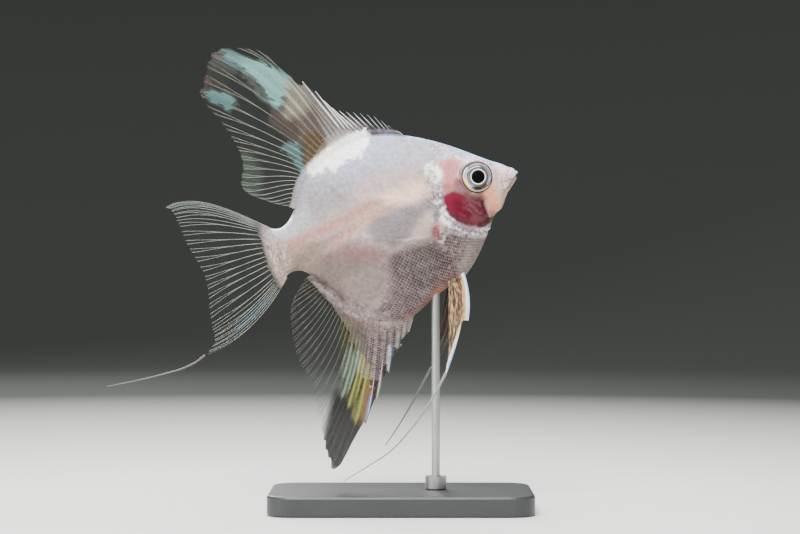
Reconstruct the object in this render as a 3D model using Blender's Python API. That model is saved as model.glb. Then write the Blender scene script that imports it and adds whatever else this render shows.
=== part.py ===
"""Freshwater angelfish, life size, held swimming above a plain display stand.

The fish is drawn in its own frame: x runs forward from the tail base to the snout,
z runs up from the long axis of the body, and y = 0 is its middle plane, with the
fish's left side at +y. All sizes are millimetres on a fish of 60 mm standard length,
which is the distance from the snout to the tail base. The finished pieces are pitched
nose up over the stand, and brought to metres at the very end.
"""
import math

import bmesh
import bpy
import numpy as np
from mathutils import Matrix

# Driving dimensions ---------------------------------------------------------------
STANDARD_LENGTH = 0.060            # snout to tail base, metres
UNIT = STANDARD_LENGTH / 60        # one drawn millimetre, metres
PITCH = math.radians(18.7)         # nose-up attitude of the body
GAP = 0.3                          # thin cut between neighbouring pieces
SLIVER = 0.02                      # points closer than this are joined after a cut

FIN_ROOT = 1.1                     # thickness of a fin where it leaves the body
FIN_EDGE = 0.55                    # thickness of a fin at its free edge
FIN_SWAY = 1.6                     # how far the tips of the tall fins lean aside

STAND_LENGTH = 64
STAND_DEPTH = 36
STAND_THICKNESS = 5
STAND_CORNER = 6
STAND_BEVEL = 0.6
STAND_CLEARANCE = 2.5              # lowest fin tip above the top of the base
STAND_MIDDLE = 28.5                # base centre ahead of the tail base
ROD_RADIUS = 1
ROD_PLACE = 37                     # rod ahead of the tail base, along the floor
ROD_TOP = -8.4                     # rod end, inside its socket in the belly
COLLAR_RADIUS = 2.6
COLLAR_HEIGHT = 3

# Body outline: x, z down the middle of the back and of the belly --------------------
BACK = (
    (-2.5, 7.6), (-1, 6.3), (0.8, 5.75), (3, 6.5), (5, 8.3), (7, 10.9), (9, 13.7),
    (11, 15.5), (14, 17.2), (18, 18.9), (22, 20), (26, 20.4), (30, 19.9), (34, 18.7),
    (38, 16.9), (42, 14.6), (46, 11.9), (50, 8.75), (54, 5.4), (57.2, 3.1),
    (58.3, 2.1), (59.4, 1.3), (60, 0.2),
)
BELLY = (
    (-2.5, -7.2), (-1, -6), (0.8, -5.65), (3, -6.4), (4.8, -8.4), (6.5, -11.8),
    (9, -17), (12, -20.9), (16, -23.7), (20, -25.1), (24, -25.4), (27, -24.4),
    (31, -22.6), (36, -21), (40, -19.7), (43, -17.7), (46, -14.8), (48.6, -11.8),
    (50, -10), (51.5, -8.3), (54, -6.9), (55, -5.6), (57, -3.4), (59.2, -1.5),
    (60, -0.5),
)
# x, half the width, and the height at which the body is widest
GIRTH = (
    (-2.5, 0.8, 0), (0.5, 2.1, 0), (5, 2.8, -0.2), (12, 3.9, -0.8), (20, 4.8, -2.5),
    (30, 5.4, -4), (37, 5.7, -4), (42, 5.8, -2.5), (46, 5.5, -1), (50, 4.8, 0.5),
    (53.5, 3.9, 0.4), (56.5, 2.8, 0), (58.5, 2.1, -0.05), (59.5, 1.5, -0.1),
    (60, 0.7, -0.15),
)
KEEL = 1.2                         # above 1 the back and belly narrow to an edge
RING_POINTS = 28

# Rear edge of the head and gill cover, nape to throat
HEAD_EDGE = (
    (45, 20), (44.6, 12), (43.9, 8.6), (41.9, 6), (40.4, 3), (39.7, 0), (39.4, -2.6),
    (39.9, -4.9), (41.3, -7.1), (43.5, -9.2), (46, -10.6), (48.4, -11.4), (50.5, -14),
)
# Front edge of the gill cover, bottom to top
CHEEK_EDGE = ((49.6, -11.5), (48.4, -9.3), (46.6, -6.6), (45.6, -3), (45.4, 1),
              (45.2, 5), (44.6, 8.2))
COVER_THICKNESS = 0.9
# Lower jaw: the mouth slit from the snout back, then round under the chin
JAW_EDGE = ((61, 0.1), (60, -0.35), (58, -1.9), (56.2, -3.2), (54.6, -5.2), (53.4, -8),
            (58, -8), (61, -4))
STALK_CUT = 5.0                    # where the tail stalk is parted from the trunk

EYE_CENTRE = (50.2, 1.9)
EYE_RADIUS = 3.7
EYE_DEPTH = 2.2                    # half the thickness of the flattened eyeball
EYE_SEAT = 3.7                     # eye centre out from the middle plane

# Fin rays. Each row is a chosen ray: its number, root x (and z where the root does not
# follow the body outline), tip x and z, the headings in degrees at root and tip, and
# how far along the ray the web behind it reaches. Rays between are read off smoothly.
DORSAL_RAYS = (
    (0, 36.2, 35.0, 19.3, 115, 115, 0.8), (3, 33.2, 31.3, 24.0, 113, 113, 0.72),
    (6, 30.0, 26.8, 26.6, 114, 116, 0.74), (9, 26.8, 22.2, 29.4, 113, 118, 0.8),
    (12, 23.6, 17.5, 37.8, 107, 108, 0.93), (13, 22.5, 14.0, 41.6, 106, 112, 0.86),
    (14, 21.4, 10.3, 48.0, 106, 120, 0.74), (15, 20.3, 6.1, 50.3, 107, 142, 0.76),
    (16, 19.2, 1.3, 51.9, 110, 142, 0.95), (18, 17.2, -3.4, 49.9, 114, 134, 1),
    (20, 15.2, -7.2, 43.4, 119, 138, 1), (22, 13.4, -4.2, 33.6, 125, 142, 1),
    (25, 11.3, -2.6, 25.0, 134, 152, 1), (29, 9.0, -4.6, 17.4, 150, 146, 1),
    (32, 7.3, 0.2, 12.7, 162, 152, 1), (35, 5.5, 5.0, 9.6, 165, 165, 1),
)
LAST_DORSAL_SPINE = 12
DORSAL_JAGGED = 16                 # the web is notched between rays up to this one
ANAL_RAYS = (
    (0, 24.6, 23.1, -27.8, 239, 239, 0.7), (1, 23.0, 20.6, -29.6, 241, 241, 0.75),
    (2, 21.3, 18.1, -32.1, 243, 243, 0.8), (3, 19.6, 14.7, -36.4, 246, 246, 0.85),
    (4, 18.0, 9.0, -42.9, 248, 240, 0.88), (5, 16.4, 5.4, -46.3, 247, 238, 0.9),
    (6, 15.0, -3.4, -53.5, 246, 228, 0.95), (8, 13.7, -5.9, -51.0, 245, 226, 1),
    (10, 12.4, -5.6, -46.5, 243, 222, 1), (14, 10.2, -4.3, -34, 236, 212, 1),
    (18, 8.4, -5.2, -26.4, 228, 206, 1), (22, 7.0, -4.6, -19.6, 218, 204, 1),
    (26, 5.7, -2.5, -13, 206, 205, 1), (30, 4.2, 2.6, -8.2, 195, 195, 1),
)
LAST_ANAL_SPINE = 5
ANAL_JAGGED = 6
# The tail and pelvic rows give the root's z as well
TAIL_RAYS = (
    (0, -2.2, 7.4, -23.8, 19.3, 137, 192, 1), (1, -2.3, 6.8, -22.6, 18.3, 139, 186, 1),
    (3, -2.5, 5.5, -21.9, 14.2, 148, 170, 1), (5, -2.7, 3.9, -21.6, 9.6, 158, 166, 1),
    (7, -2.8, 2.1, -20.7, 4.9, 168, 168, 1), (8.5, -2.9, 0.6, -20, 0.9, 176, 176, 1),
    (10, -2.9, -0.8, -20.2, -2.4, 184, 186, 1),
    (12, -2.8, -2.7, -21.3, -7, 196, 198, 1),
    (14, -2.6, -4.6, -22.2, -11.6, 208, 194, 1),
    (16, -2.3, -6.2, -23, -15.6, 217, 186, 1),
    (17, -2.2, -7, -25.5, -17.8, 220, 184, 1),
)
PELVIC_RAYS = (
    (0, 39.7, -18, 37, -30.3, 272, 240, 0.9), (1, 39, -18, 28, -40.3, 268, 228, 1),
    (2, 38.4, -18, 28.7, -39.2, 262, 226, 1), (3, 37.8, -18, 30.3, -36.4, 256, 228, 1),
    (4, 37.3, -18, 32.7, -30.8, 250, 240, 1), (5, 36.8, -18, 34.2, -25.5, 246, 244, 1),
)
PELVIC_ROOT = 1.5                  # pelvic root out from the middle plane
PELVIC_SPLAY = 0.13                # outward lean for each unit of drop
FAR_PELVIC_SWING = math.radians(7)   # the left pelvic fin trails further back
PECTORAL_RAYS = (
    (0, 36.1, -9.8, 28.6, -9.2, 182, 176, 1), (1, 36.2, -9.3, 24.0, -6.6, 178, 166, 1),
    (3, 36.4, -8.6, 21.9, -3.4, 172, 158, 1), (5, 36.6, -8, 22.4, -0.2, 164, 152, 1),
    (7, 36.9, -7.4, 25, 1.9, 155, 146, 1), (9, 37.2, -6.8, 28.6, 2, 146, 140, 1),
    (11, 37.5, -6.3, 32.6, -0.5, 138, 135, 1),
)
PECTORAL_FLARE = math.radians(17)  # outward lean of the pectoral fin from the flank
PECTORAL_ROOT = 1.0                # thickness at the root of the pectoral fin

# Trailing streamers: x, z along each, from the fin tip that carries it
TAIL_STREAMER = ((-25.9, -17.8), (-28, -18.6), (-31, -19.1), (-36, -19), (-41, -18.6),
                 (-50.4, -17.4))
RIGHT_STREAMER = ((27.8, -40.6), (24.5, -43.8), (20, -47.5), (15, -50.9), (9, -54.1),
                  (3, -55.7), (-3.7, -57.2))
LEFT_STREAMER = ((25.1, -38.5), (23, -40.4), (19.5, -43.7), (15, -47.7), (11.5, -50.6),
                 (8, -53.3))
STREAMER_ROOT = 0.55               # radius where it leaves the fin
STREAMER_TIP = 0.28                # radius at its end


# Shape tools ------------------------------------------------------------------------
def smooth(keys, at):
    """Read a smooth curve through rows of (place, value, ...) at the places given."""
    keys = np.array(keys, float)
    at = np.atleast_1d(np.array(at, float))
    place, value = keys[:, 0], keys[:, 1:]
    slope = np.gradient(value, place, axis=0)
    i = np.clip(np.searchsorted(place, at, side="right") - 1, 0, len(place) - 2)
    step = (place[i + 1] - place[i])[:, None]
    s = (at - place[i])[:, None] / step
    rise = value[i + 1] - value[i]
    return (value[i] + rise * s * s * (3 - 2 * s)
            + slope[i] * step * s * (1 - s) ** 2
            + slope[i + 1] * step * s * s * (s - 1))


def smooth_path(points, count):
    """Space points evenly along a smooth path through the given points."""
    points = np.array(points, float)
    reach = np.r_[0, np.cumsum(np.linalg.norm(np.diff(points, axis=0), axis=1))]
    return smooth(np.column_stack((reach, points)), np.linspace(0, reach[-1], count))


def back_height(x):
    """Height of the back above the long axis."""
    return smooth(BACK, x)[:, 0]


def belly_height(x):
    """Height of the belly line, which is negative."""
    return smooth(BELLY, x)[:, 0]


def flank_width(x, z):
    """Distance from the middle plane to the flank at (x, z)."""
    half, middle = smooth(GIRTH, x)[0]
    edge = back_height(x)[0] if z > middle else belly_height(x)[0]
    lift = min(abs(z - middle) / abs(edge - middle), 1)
    return half * math.sqrt(1 - lift * lift) ** KEEL


def new_piece(name, points, faces):
    """Make an object from points and faces of indices, its faces turned outward."""
    mesh = bpy.data.meshes.new(name)
    mesh.from_pydata([tuple(point) for point in points], [], faces)
    shape = bmesh.new()
    shape.from_mesh(mesh)
    bmesh.ops.recalc_face_normals(shape, faces=shape.faces)
    shape.to_mesh(mesh)
    shape.free()
    piece = bpy.data.objects.new(name, mesh)
    bpy.context.scene.collection.objects.link(piece)
    return piece


def loft(name, rings):
    """Skin a run of rings, each with the same number of points, with closed ends."""
    rings = np.asarray(rings)
    runs, around = rings.shape[:2]
    faces = []
    for run in range(runs - 1):
        for i in range(around):
            j = (i + 1) % around
            near, far = run * around, (run + 1) * around
            faces.append((near + i, near + j, far + j, far + i))
    faces.append(tuple(range(around)))
    faces.append(tuple(range((runs - 1) * around, runs * around)))
    return new_piece(name, rings.reshape(-1, 3), faces)


def tube(name, route, radii, sides=8):
    """A round tube along a route, its radius given at every point."""
    route = np.asarray(route)
    along = np.gradient(route, axis=0)
    along /= np.linalg.norm(along, axis=1)[:, None]
    aside = np.cross(along, (0, 1, 0))
    aside /= np.linalg.norm(aside, axis=1)[:, None]
    other = np.cross(along, aside)
    turn = np.linspace(0, 2 * math.pi, sides, endpoint=False)
    rings = [
        point + radius * (np.cos(turn)[:, None] * u + np.sin(turn)[:, None] * v)
        for point, radius, u, v in zip(route, radii, aside, other)
    ]
    return loft(name, rings)


def prism(name, outline, near, far):
    """Carry an outline in x and z through from y = near to y = far."""
    sides = [[(x, y, z) for x, z in outline] for y in (near, far)]
    return loft(name, sides)


def carve(piece, tool, operation, keep_tool=False):
    """Cut a piece with a tool, or keep only what they share."""
    cut = piece.modifiers.new("carve", "BOOLEAN")
    cut.operation = operation
    cut.solver = "EXACT"
    cut.object = tool
    shaped = piece.evaluated_get(bpy.context.evaluated_depsgraph_get())
    mesh = bpy.data.meshes.new_from_object(shaped)
    shape = bmesh.new()
    shape.from_mesh(mesh)
    bmesh.ops.remove_doubles(shape, verts=shape.verts, dist=SLIVER)
    bmesh.ops.dissolve_degenerate(shape, edges=shape.edges, dist=SLIVER)
    shape.to_mesh(mesh)
    shape.free()
    piece.modifiers.clear()
    piece.data = mesh
    if not keep_tool:
        bpy.data.objects.remove(tool)
    return piece


# Finishes ---------------------------------------------------------------------------
def finish(name, colour, roughness, metallic=0.0):
    """Make a Principled material."""
    material = bpy.data.materials.new(name)
    material.use_nodes = True
    shader = material.node_tree.nodes["Principled BSDF"]
    shader.inputs["Base Color"].default_value = (*colour, 1)
    shader.inputs["Roughness"].default_value = roughness
    shader.inputs["Metallic"].default_value = metallic
    material.diffuse_color = (*colour, 1)
    return material


def dress(piece, material, crease=40):
    """Give a piece its material and smooth shading, sharp at its creases."""
    piece.data.materials.clear()
    piece.data.materials.append(material)
    piece.data.shade_smooth()
    piece.data.set_sharp_from_angle(angle=math.radians(crease))
    return piece


# Body -------------------------------------------------------------------------------
def body_ring(x, grow):
    """One closed cross-section of the body: an ellipse narrowed towards its keels."""
    half, middle = smooth(GIRTH, x)[0]
    top = back_height(x)[0] + grow[1] - middle
    bottom = middle - belly_height(x)[0] + grow[1]
    half = max(half + grow[0], 0.15)
    turn = np.linspace(0, 2 * math.pi, RING_POINTS, endpoint=False)
    side = np.abs(np.cos(turn)) ** KEEL * np.sign(np.cos(turn))
    lift = np.where(np.sin(turn) > 0, top, bottom) * np.sin(turn)
    return np.column_stack((np.full(RING_POINTS, x), half * side, middle + lift))


def body_length(name, rear, front, grow=(0, 0)):
    """The body between two stations, grown sideways and up and down by two amounts."""
    stations = np.r_[np.arange(-2.5, 11, 1.5), np.arange(12, 38, 2.6),
                     np.arange(38.6, 57, 1.5), 57.4, 58.4, 59.2, 59.7, 60]
    inner = stations[(stations > rear + 0.5) & (stations < front - 0.25)]
    return loft(name, [body_ring(x, grow) for x in (rear, *inner, front)])


def head_outline(shift):
    """Outline of everything ahead of the head's rear edge, moved forward by shift."""
    edge = smooth_path(HEAD_EDGE, 22)
    edge[:, 0] += shift
    return [*edge, (64, -14), (64, 20)]


def cover_outline(shift):
    """Outline of the gill cover, from well behind its rear edge to its front edge."""
    front = smooth_path(CHEEK_EDGE, 9) + (shift, 0)
    low, high = front[0], front[-1]
    behind = 5.0
    return [*front, (high[0] - behind, high[1] + behind),
            (high[0] - 3 * behind, high[1]), (low[0] - 3 * behind, low[1] - behind),
            (low[0], low[1] - behind)]


def cover_shell(name, side, shift, inset):
    """The outer shell of one cheek, ahead of or behind which the gill cover is cut."""
    outer = 9 * side
    shell = prism(name, cover_outline(shift), 0.4 * side, outer)
    core = body_length("core", 30, 58, (-inset, 1))
    return carve(shell, core, "DIFFERENCE")


def socket_tool(side, grow):
    """A flattened ball at the eye's place, grown by a margin."""
    bpy.ops.mesh.primitive_uv_sphere_add(segments=20, ring_count=10, radius=1)
    ball = bpy.context.object
    radius = EYE_RADIUS + grow
    ball.data.transform(Matrix.Rotation(math.pi / 2, 4, "X"))
    ball.data.transform(Matrix.Diagonal((radius, EYE_DEPTH + grow, radius, 1)))
    place = (EYE_CENTRE[0], EYE_SEAT * side, EYE_CENTRE[1])
    ball.data.transform(Matrix.Translation(place))
    return ball


def make_eye(name, side, material):
    """One eyeball, seated in the head and standing a little proud of it."""
    eye = socket_tool(side, 0)
    eye.name = name
    return dress(eye, material)


def make_head(skin, gill, glass):
    """Head, lower jaw, both gill covers and both eyes."""
    whole = body_length("head", 37, 60)
    carve(whole, prism("tool", head_outline(0), -9, 9), "INTERSECT")
    pieces = []
    for label, side in (("left", 1), ("right", -1)):
        cover = whole.copy()
        cover.name = "gill_cover_" + label
        bpy.context.scene.collection.objects.link(cover)
        carve(cover, cover_shell("tool", side, -GAP, COVER_THICKNESS), "INTERSECT")
        pieces.append(dress(cover, gill))
    for side in (1, -1):
        carve(whole, cover_shell("tool", side, 0, COVER_THICKNESS + GAP), "DIFFERENCE")
        carve(whole, socket_tool(side, GAP), "DIFFERENCE")
    jaw_line = smooth_path(JAW_EDGE[:6], 9)
    jaw = whole.copy()
    jaw.name = "lower_jaw"
    bpy.context.scene.collection.objects.link(jaw)
    under = [*(jaw_line - (0, GAP)), *JAW_EDGE[6:]]
    carve(jaw, prism("tool", under, -5, 5), "INTERSECT")
    carve(whole, prism("tool", [*jaw_line, *JAW_EDGE[6:]], -5, 5), "DIFFERENCE")
    pieces += [dress(whole, skin), dress(jaw, skin)]
    for label, side in (("left", 1), ("right", -1)):
        pieces.append(make_eye("eye_" + label, side, glass))
    return pieces


def make_trunk(skin):
    """Trunk, with a socket for the rod of the stand, and tail stalk."""
    trunk = body_length("trunk", STALK_CUT + GAP, 52)
    carve(trunk, prism("tool", head_outline(-GAP), -9, 9), "DIFFERENCE")
    socket = rod_cylinder("socket", ROD_RADIUS + GAP, -40, ROD_TOP + GAP)
    socket.data.transform(Matrix.Rotation(PITCH, 4, "Y"))
    carve(trunk, socket, "DIFFERENCE")
    stalk = body_length("tail_stalk", -2.5, STALK_CUT)
    return [dress(trunk, skin), dress(stalk, skin)]


# Fins -------------------------------------------------------------------------------
def ray_points(rays, numbers, steps):
    """Points along the rays with the given numbers, as (ray, step, x and z)."""
    root_x, root_z, tip_x, tip_z, leave, arrive = smooth(rays, numbers)[:, :6].T
    root = np.column_stack((root_x, root_z))[:, None]
    tip = np.column_stack((tip_x, tip_z))[:, None]
    length = np.linalg.norm(tip - root, axis=2, keepdims=True)
    heading = [np.column_stack((np.cos(a), np.sin(a)))[:, None] * length
               for a in np.radians((leave, arrive))]
    s = steps[..., None]
    return (root + (tip - root) * s * s * (3 - 2 * s)
            + heading[0] * s * (1 - s) ** 2 + heading[1] * s * s * (s - 1))


def rooted(rays, height, lift):
    """Add the root's z to rays whose roots follow the back or the belly."""
    return [(k, x, height(x)[0] + lift, *rest) for k, x, *rest in rays]


def web_reach(rays, numbers, jagged):
    """How far along each ray the fin reaches: all the way on a ray, less between."""
    web = np.interp(numbers, [row[0] for row in rays], [row[-1] for row in rays])
    between = (numbers % 1 > 0) & (numbers < jagged)
    return np.where(between, web, 1)


def fin(name, rays, first, last, jagged, aside, root=FIN_ROOT, rows=7):
    """A thin closed plate over a run of rays, its web notched between the first ones.

    aside gives the plate's middle in y for points along the rays, as an array.
    """
    fine = np.arange(math.ceil(first * 2) / 2, min(jagged, last) + 0.01, 0.5)
    coarse = np.arange(max(jagged + 1, math.ceil(first)), last + 0.01)
    numbers = np.unique(np.r_[first, fine, coarse, last])
    reach = web_reach(rays, numbers, jagged)
    steps = np.linspace(0, 1, rows)[None] * reach[:, None]
    flat = ray_points(rays, numbers, steps)
    middle = aside(flat)
    half = (root + (FIN_EDGE - root) * np.minimum(steps * 2, 1)) / 2
    sides = [np.dstack((flat[..., 0], middle + half * sign, flat[..., 1]))
             for sign in (-1, 1)]
    count, size = len(numbers), len(numbers) * rows
    faces = []
    for i in range(count - 1):
        for j in range(rows - 1):
            a = i * rows + j
            faces.append((a, a + 1, a + rows + 1, a + rows))
            faces.append((size + a, size + a + rows, size + a + rows + 1, size + a + 1))
    rim = [i * rows for i in range(count)]
    rim += [(count - 1) * rows + j for j in range(1, rows)]
    rim += [i * rows + rows - 1 for i in range(count - 2, -1, -1)]
    rim += list(range(rows - 2, 0, -1))
    for a, b in zip(rim, rim[1:] + rim[:1]):
        faces.append((a, b, size + b, size + a))
    points = np.concatenate([side.reshape(-1, 3) for side in sides])
    return new_piece(name, points, faces)


def tall_sway(flat):
    """Middle of the dorsal and anal fins, leaning aside away from the body."""
    far = np.clip((np.abs(flat[..., 1]) - 18) / 34, 0, 1.2)
    return FIN_SWAY * far ** 1.5 * np.sign(flat[..., 1])


def tail_sway(flat):
    """Middle of the tail fin, curving gently to the right behind the stalk."""
    far = np.clip(-flat[..., 0] / 24, 0, 2.2)
    return -FIN_SWAY * far ** 1.6


def make_dorsal(web):
    """Spiny front and soft rear of the dorsal fin."""
    rays = rooted(DORSAL_RAYS, back_height, GAP + 0.1)
    cut = LAST_DORSAL_SPINE
    spiny = fin("dorsal_fin_spiny", rays, 0, cut, cut, tall_sway, rows=5)
    soft = fin("dorsal_fin_soft", rays, cut + 0.4, 35, DORSAL_JAGGED, tall_sway)
    return [dress(spiny, web), dress(soft, web)]


def make_anal(web):
    """Spiny front and soft rear of the anal fin."""
    rays = rooted(ANAL_RAYS, belly_height, -GAP - 0.1)
    cut = LAST_ANAL_SPINE
    spiny = fin("anal_fin_spiny", rays, 0, cut, cut, tall_sway, rows=6)
    soft = fin("anal_fin_soft", rays, cut + 0.3, 30, ANAL_JAGGED, tall_sway)
    return [dress(spiny, web), dress(soft, web)]


def streamer(name, points, aside, count, root=STREAMER_ROOT):
    """A trailing filament, round and tapering."""
    flat = smooth_path(points, count)
    route = np.column_stack((flat[:, 0], aside(flat), flat[:, 1]))
    return tube(name, route, np.linspace(root, STREAMER_TIP, count))


def make_tail(web):
    """Tail fin and the streamer from its lower corner."""
    blade = fin("tail_fin", TAIL_RAYS, 0, 17, 0, tail_sway)
    blade.data.transform(Matrix.Translation((-GAP, 0, 0)))
    trail = streamer("tail_streamer", TAIL_STREAMER, tail_sway, 12, 0.4)
    trail.data.transform(Matrix.Translation((-GAP, 0, 0)))
    return [dress(blade, web), dress(trail, web)]


def swing(rays, angle):
    """Turn pelvic rays back about the first ray's root."""
    turn = np.array(((math.cos(angle), math.sin(angle)),
                     (-math.sin(angle), math.cos(angle))))
    pivot = np.array(rays[0][1:3])
    rows = []
    for number, x, z, tip_x, tip_z, leave, arrive, web in rays:
        tip = pivot + turn @ (np.array((tip_x, tip_z)) - pivot)
        less = math.degrees(angle)
        rows.append((number, x, z, *tip, leave - less, arrive - less, web))
    return rows


def make_pelvics(web):
    """Both pelvic fins, fitted to the belly, and their streamers."""
    pieces = []
    sides = (("left", 1, swing(PELVIC_RAYS, FAR_PELVIC_SWING), LEFT_STREAMER),
             ("right", -1, PELVIC_RAYS, RIGHT_STREAMER))
    for label, side, rays, trail in sides:
        def splay(flat, side=side):
            return side * (PELVIC_ROOT + PELVIC_SPLAY * (-18 - flat[..., 1]))
        blade = fin("pelvic_fin_" + label, rays, 0, 5, 1, splay, rows=6)
        belly = body_length("tool", 28, 49, (GAP, GAP))
        carve(blade, belly, "DIFFERENCE")
        pieces.append(dress(blade, web))
        pieces.append(dress(streamer("pelvic_streamer_" + label, trail, splay, 16), web))
    return pieces


def make_pectorals(web):
    """Both pectoral fins, standing off the flank behind the gill covers."""
    root_width = flank_width(PECTORAL_RAYS[3][1], PECTORAL_RAYS[3][2])
    stand_off = root_width + GAP + PECTORAL_ROOT / 2
    pieces = []
    for label, side in (("left", 1), ("right", -1)):
        def flare(flat, side=side):
            trail = np.maximum(37.5 - flat[..., 0], 0)
            return side * (stand_off + trail * math.tan(PECTORAL_FLARE))
        blade = fin("pectoral_fin_" + label, PECTORAL_RAYS, 0, 11, 0, flare,
                    root=PECTORAL_ROOT, rows=6)
        pieces.append(dress(blade, web))
    return pieces


# Stand ------------------------------------------------------------------------------
def rod_cylinder(name, radius, bottom, top, sides=24):
    """An upright rod at the stand's rod place, between two heights."""
    height = top - bottom
    bpy.ops.mesh.primitive_cylinder_add(vertices=sides, radius=radius, depth=height)
    rod = bpy.context.object
    rod.name = name
    rod.data.transform(Matrix.Translation((ROD_PLACE, 0, bottom + height / 2)))
    return rod


def make_stand(lowest, paint, steel):
    """Base plate, collar and rod; lowest is the height of the lowest fin tip."""
    top = lowest - STAND_CLEARANCE
    across = STAND_LENGTH / 2 - STAND_CORNER
    deep = STAND_DEPTH / 2 - STAND_CORNER
    outline = []
    for corner, (x, y) in enumerate(((1, 1), (-1, 1), (-1, -1), (1, -1))):
        for turn in np.linspace(0, 90, 9):
            angle = math.radians(turn + 90 * corner)
            outline.append((STAND_MIDDLE + x * across + STAND_CORNER * math.cos(angle),
                            y * deep + STAND_CORNER * math.sin(angle)))
    sheets = [[(x, y, z) for x, y in outline] for z in (top - STAND_THICKNESS, top)]
    base = loft("stand_base", sheets)
    bevel = base.modifiers.new("edge", "BEVEL")
    bevel.width = STAND_BEVEL * UNIT
    bevel.segments = 2
    bevel.limit_method = "ANGLE"
    lift = top + GAP
    collar = rod_cylinder("stand_collar", COLLAR_RADIUS, lift, lift + COLLAR_HEIGHT)
    bore = rod_cylinder("tool", ROD_RADIUS + GAP, -90, 0)
    carve(collar, bore, "DIFFERENCE")
    rod = rod_cylinder("stand_rod", ROD_RADIUS, lift, ROD_TOP)
    return [dress(base, paint), dress(collar, steel), dress(rod, steel)]


# Assembly ---------------------------------------------------------------------------
def corners(pieces):
    """Lowest and highest coordinates of the pieces in the world."""
    bpy.context.view_layer.update()
    points = np.array([piece.matrix_world @ vertex.co
                       for piece in pieces for vertex in piece.data.vertices])
    return np.array((points.min(axis=0), points.max(axis=0)))


def gather(name, pieces, parent=None):
    """Parent pieces to a new empty."""
    empty = bpy.data.objects.new(name, None)
    bpy.context.scene.collection.objects.link(empty)
    empty.parent = parent
    for piece in pieces:
        piece.parent = empty
    return empty


def build():
    """Make every piece, pitch the fish over its stand and centre the whole."""
    for old in list(bpy.data.objects):
        bpy.data.objects.remove(old)
    skin = finish("pearly_skin", (0.80, 0.74, 0.72), 0.38)
    gill = finish("blushing_gill", (0.62, 0.16, 0.20), 0.38)
    glass = finish("eye", (0.05, 0.05, 0.06), 0.08)
    web = finish("fin_web", (0.66, 0.66, 0.58), 0.42)
    paint = finish("stand_paint", (0.055, 0.057, 0.06), 0.5)
    steel = finish("stand_steel", (0.60, 0.60, 0.60), 0.32, 1.0)
    fish_pieces = (make_head(skin, gill, glass) + make_trunk(skin) + make_dorsal(web)
                   + make_anal(web) + make_tail(web) + make_pelvics(web)
                   + make_pectorals(web))
    display = gather("display", [])
    fish = gather("fish", fish_pieces, display)
    fish.rotation_euler = (0, -PITCH, 0)
    lowest = corners(fish_pieces)[0][2]
    stand_pieces = make_stand(lowest, paint, steel)
    for piece in stand_pieces:
        piece.parent = display
    low, high = corners(fish_pieces + stand_pieces) * UNIT
    for piece in fish_pieces + stand_pieces:
        piece.data.transform(Matrix.Scale(UNIT, 4))
    display.location = (-(low[0] + high[0]) / 2, -(low[1] + high[1]) / 2, -low[2])


build()
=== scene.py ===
"""Freshwater angelfish, life size, on a plain display stand: surfaces and finishes.

Shapes are worked out in the fish's own frame, in millimetres on a fish of 60 mm
standard length: x runs forward from the tail base to the snout, z up from the long
axis, and y = 0 is the middle plane with the fish's left at +y. FishFrame carries the
finished points to the row frame. "Flat" points are x and z only.
"""
import logging
import math
from dataclasses import dataclass, field
from enum import Enum
from typing import Callable, Sequence

import bpy
import numpy as np
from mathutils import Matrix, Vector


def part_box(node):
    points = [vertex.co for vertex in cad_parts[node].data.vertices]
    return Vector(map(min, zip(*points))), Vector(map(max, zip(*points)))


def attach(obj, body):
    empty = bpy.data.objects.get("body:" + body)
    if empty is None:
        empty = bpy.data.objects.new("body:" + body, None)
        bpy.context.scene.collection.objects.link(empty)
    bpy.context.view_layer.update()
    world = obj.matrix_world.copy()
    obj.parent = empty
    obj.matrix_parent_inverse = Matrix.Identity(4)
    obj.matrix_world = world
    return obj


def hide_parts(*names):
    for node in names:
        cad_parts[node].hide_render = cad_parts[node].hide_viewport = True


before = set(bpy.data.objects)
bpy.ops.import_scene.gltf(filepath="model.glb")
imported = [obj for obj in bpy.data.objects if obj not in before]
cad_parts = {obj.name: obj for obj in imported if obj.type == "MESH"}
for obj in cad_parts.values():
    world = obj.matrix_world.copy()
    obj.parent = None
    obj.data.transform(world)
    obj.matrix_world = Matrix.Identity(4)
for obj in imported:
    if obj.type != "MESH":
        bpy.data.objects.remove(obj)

Array = np.ndarray
Row = tuple[float, ...]
Rows = Sequence[Row]

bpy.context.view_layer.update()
BODY = "root"
SIDES = (("left", 1), ("right", -1))
log = logging.getLogger("angelfish")

# Driving sizes, millimetres in the fish frame ---------------------------------------
MILLIMETRE = 0.001
PITCH = math.radians(18.7)          # nose-up attitude
EYE_CENTRE = (50.2, 1.9)
EYE_RADIUS = 3.7
EYE_DEPTH = 2.2                     # half the thickness of the flattened eyeball
EYE_SEAT = 3.7                      # eye centre out from the middle plane
COAT_DEPTH = 0.2                    # the skin lies this far inside the full outline
FIN_SWAY = 1.6                      # how far the tips of the tall fins lean aside
TALL_ROOT = 18                      # the sway starts at this height above or below
TALL_SPAN = 34                      # and is full this much further out
TAIL_SPAN = 24                      # the tail's sway is full this far behind its base
OUTLINE_BULGE = 1.5                 # a rounded outline stays this close to its corners
PATH_BULGE = 0.5                    # and a smooth path this close to its points
SOLID_OPACITY = 0.88                # a fin's web is flesh above this and film below
SHARP_ANGLE = math.radians(75)      # edges turned further than this are not smoothed
REAR_END = -4.2                     # where the fleshy tail base ends under the fin
SNOUT_END = 60.0
SIDEWAYS = (0.0, 1.0, 0.0)
# Each face of a fin's scales has its own panel on the unwrap
PANEL_EDGE = 0.02                   # margin round the panels
PANEL_STEP = (0.45, 0.24)           # from one panel to the next
PANEL_SIZE = (0.4, 0.2)             # width and height of one

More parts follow.
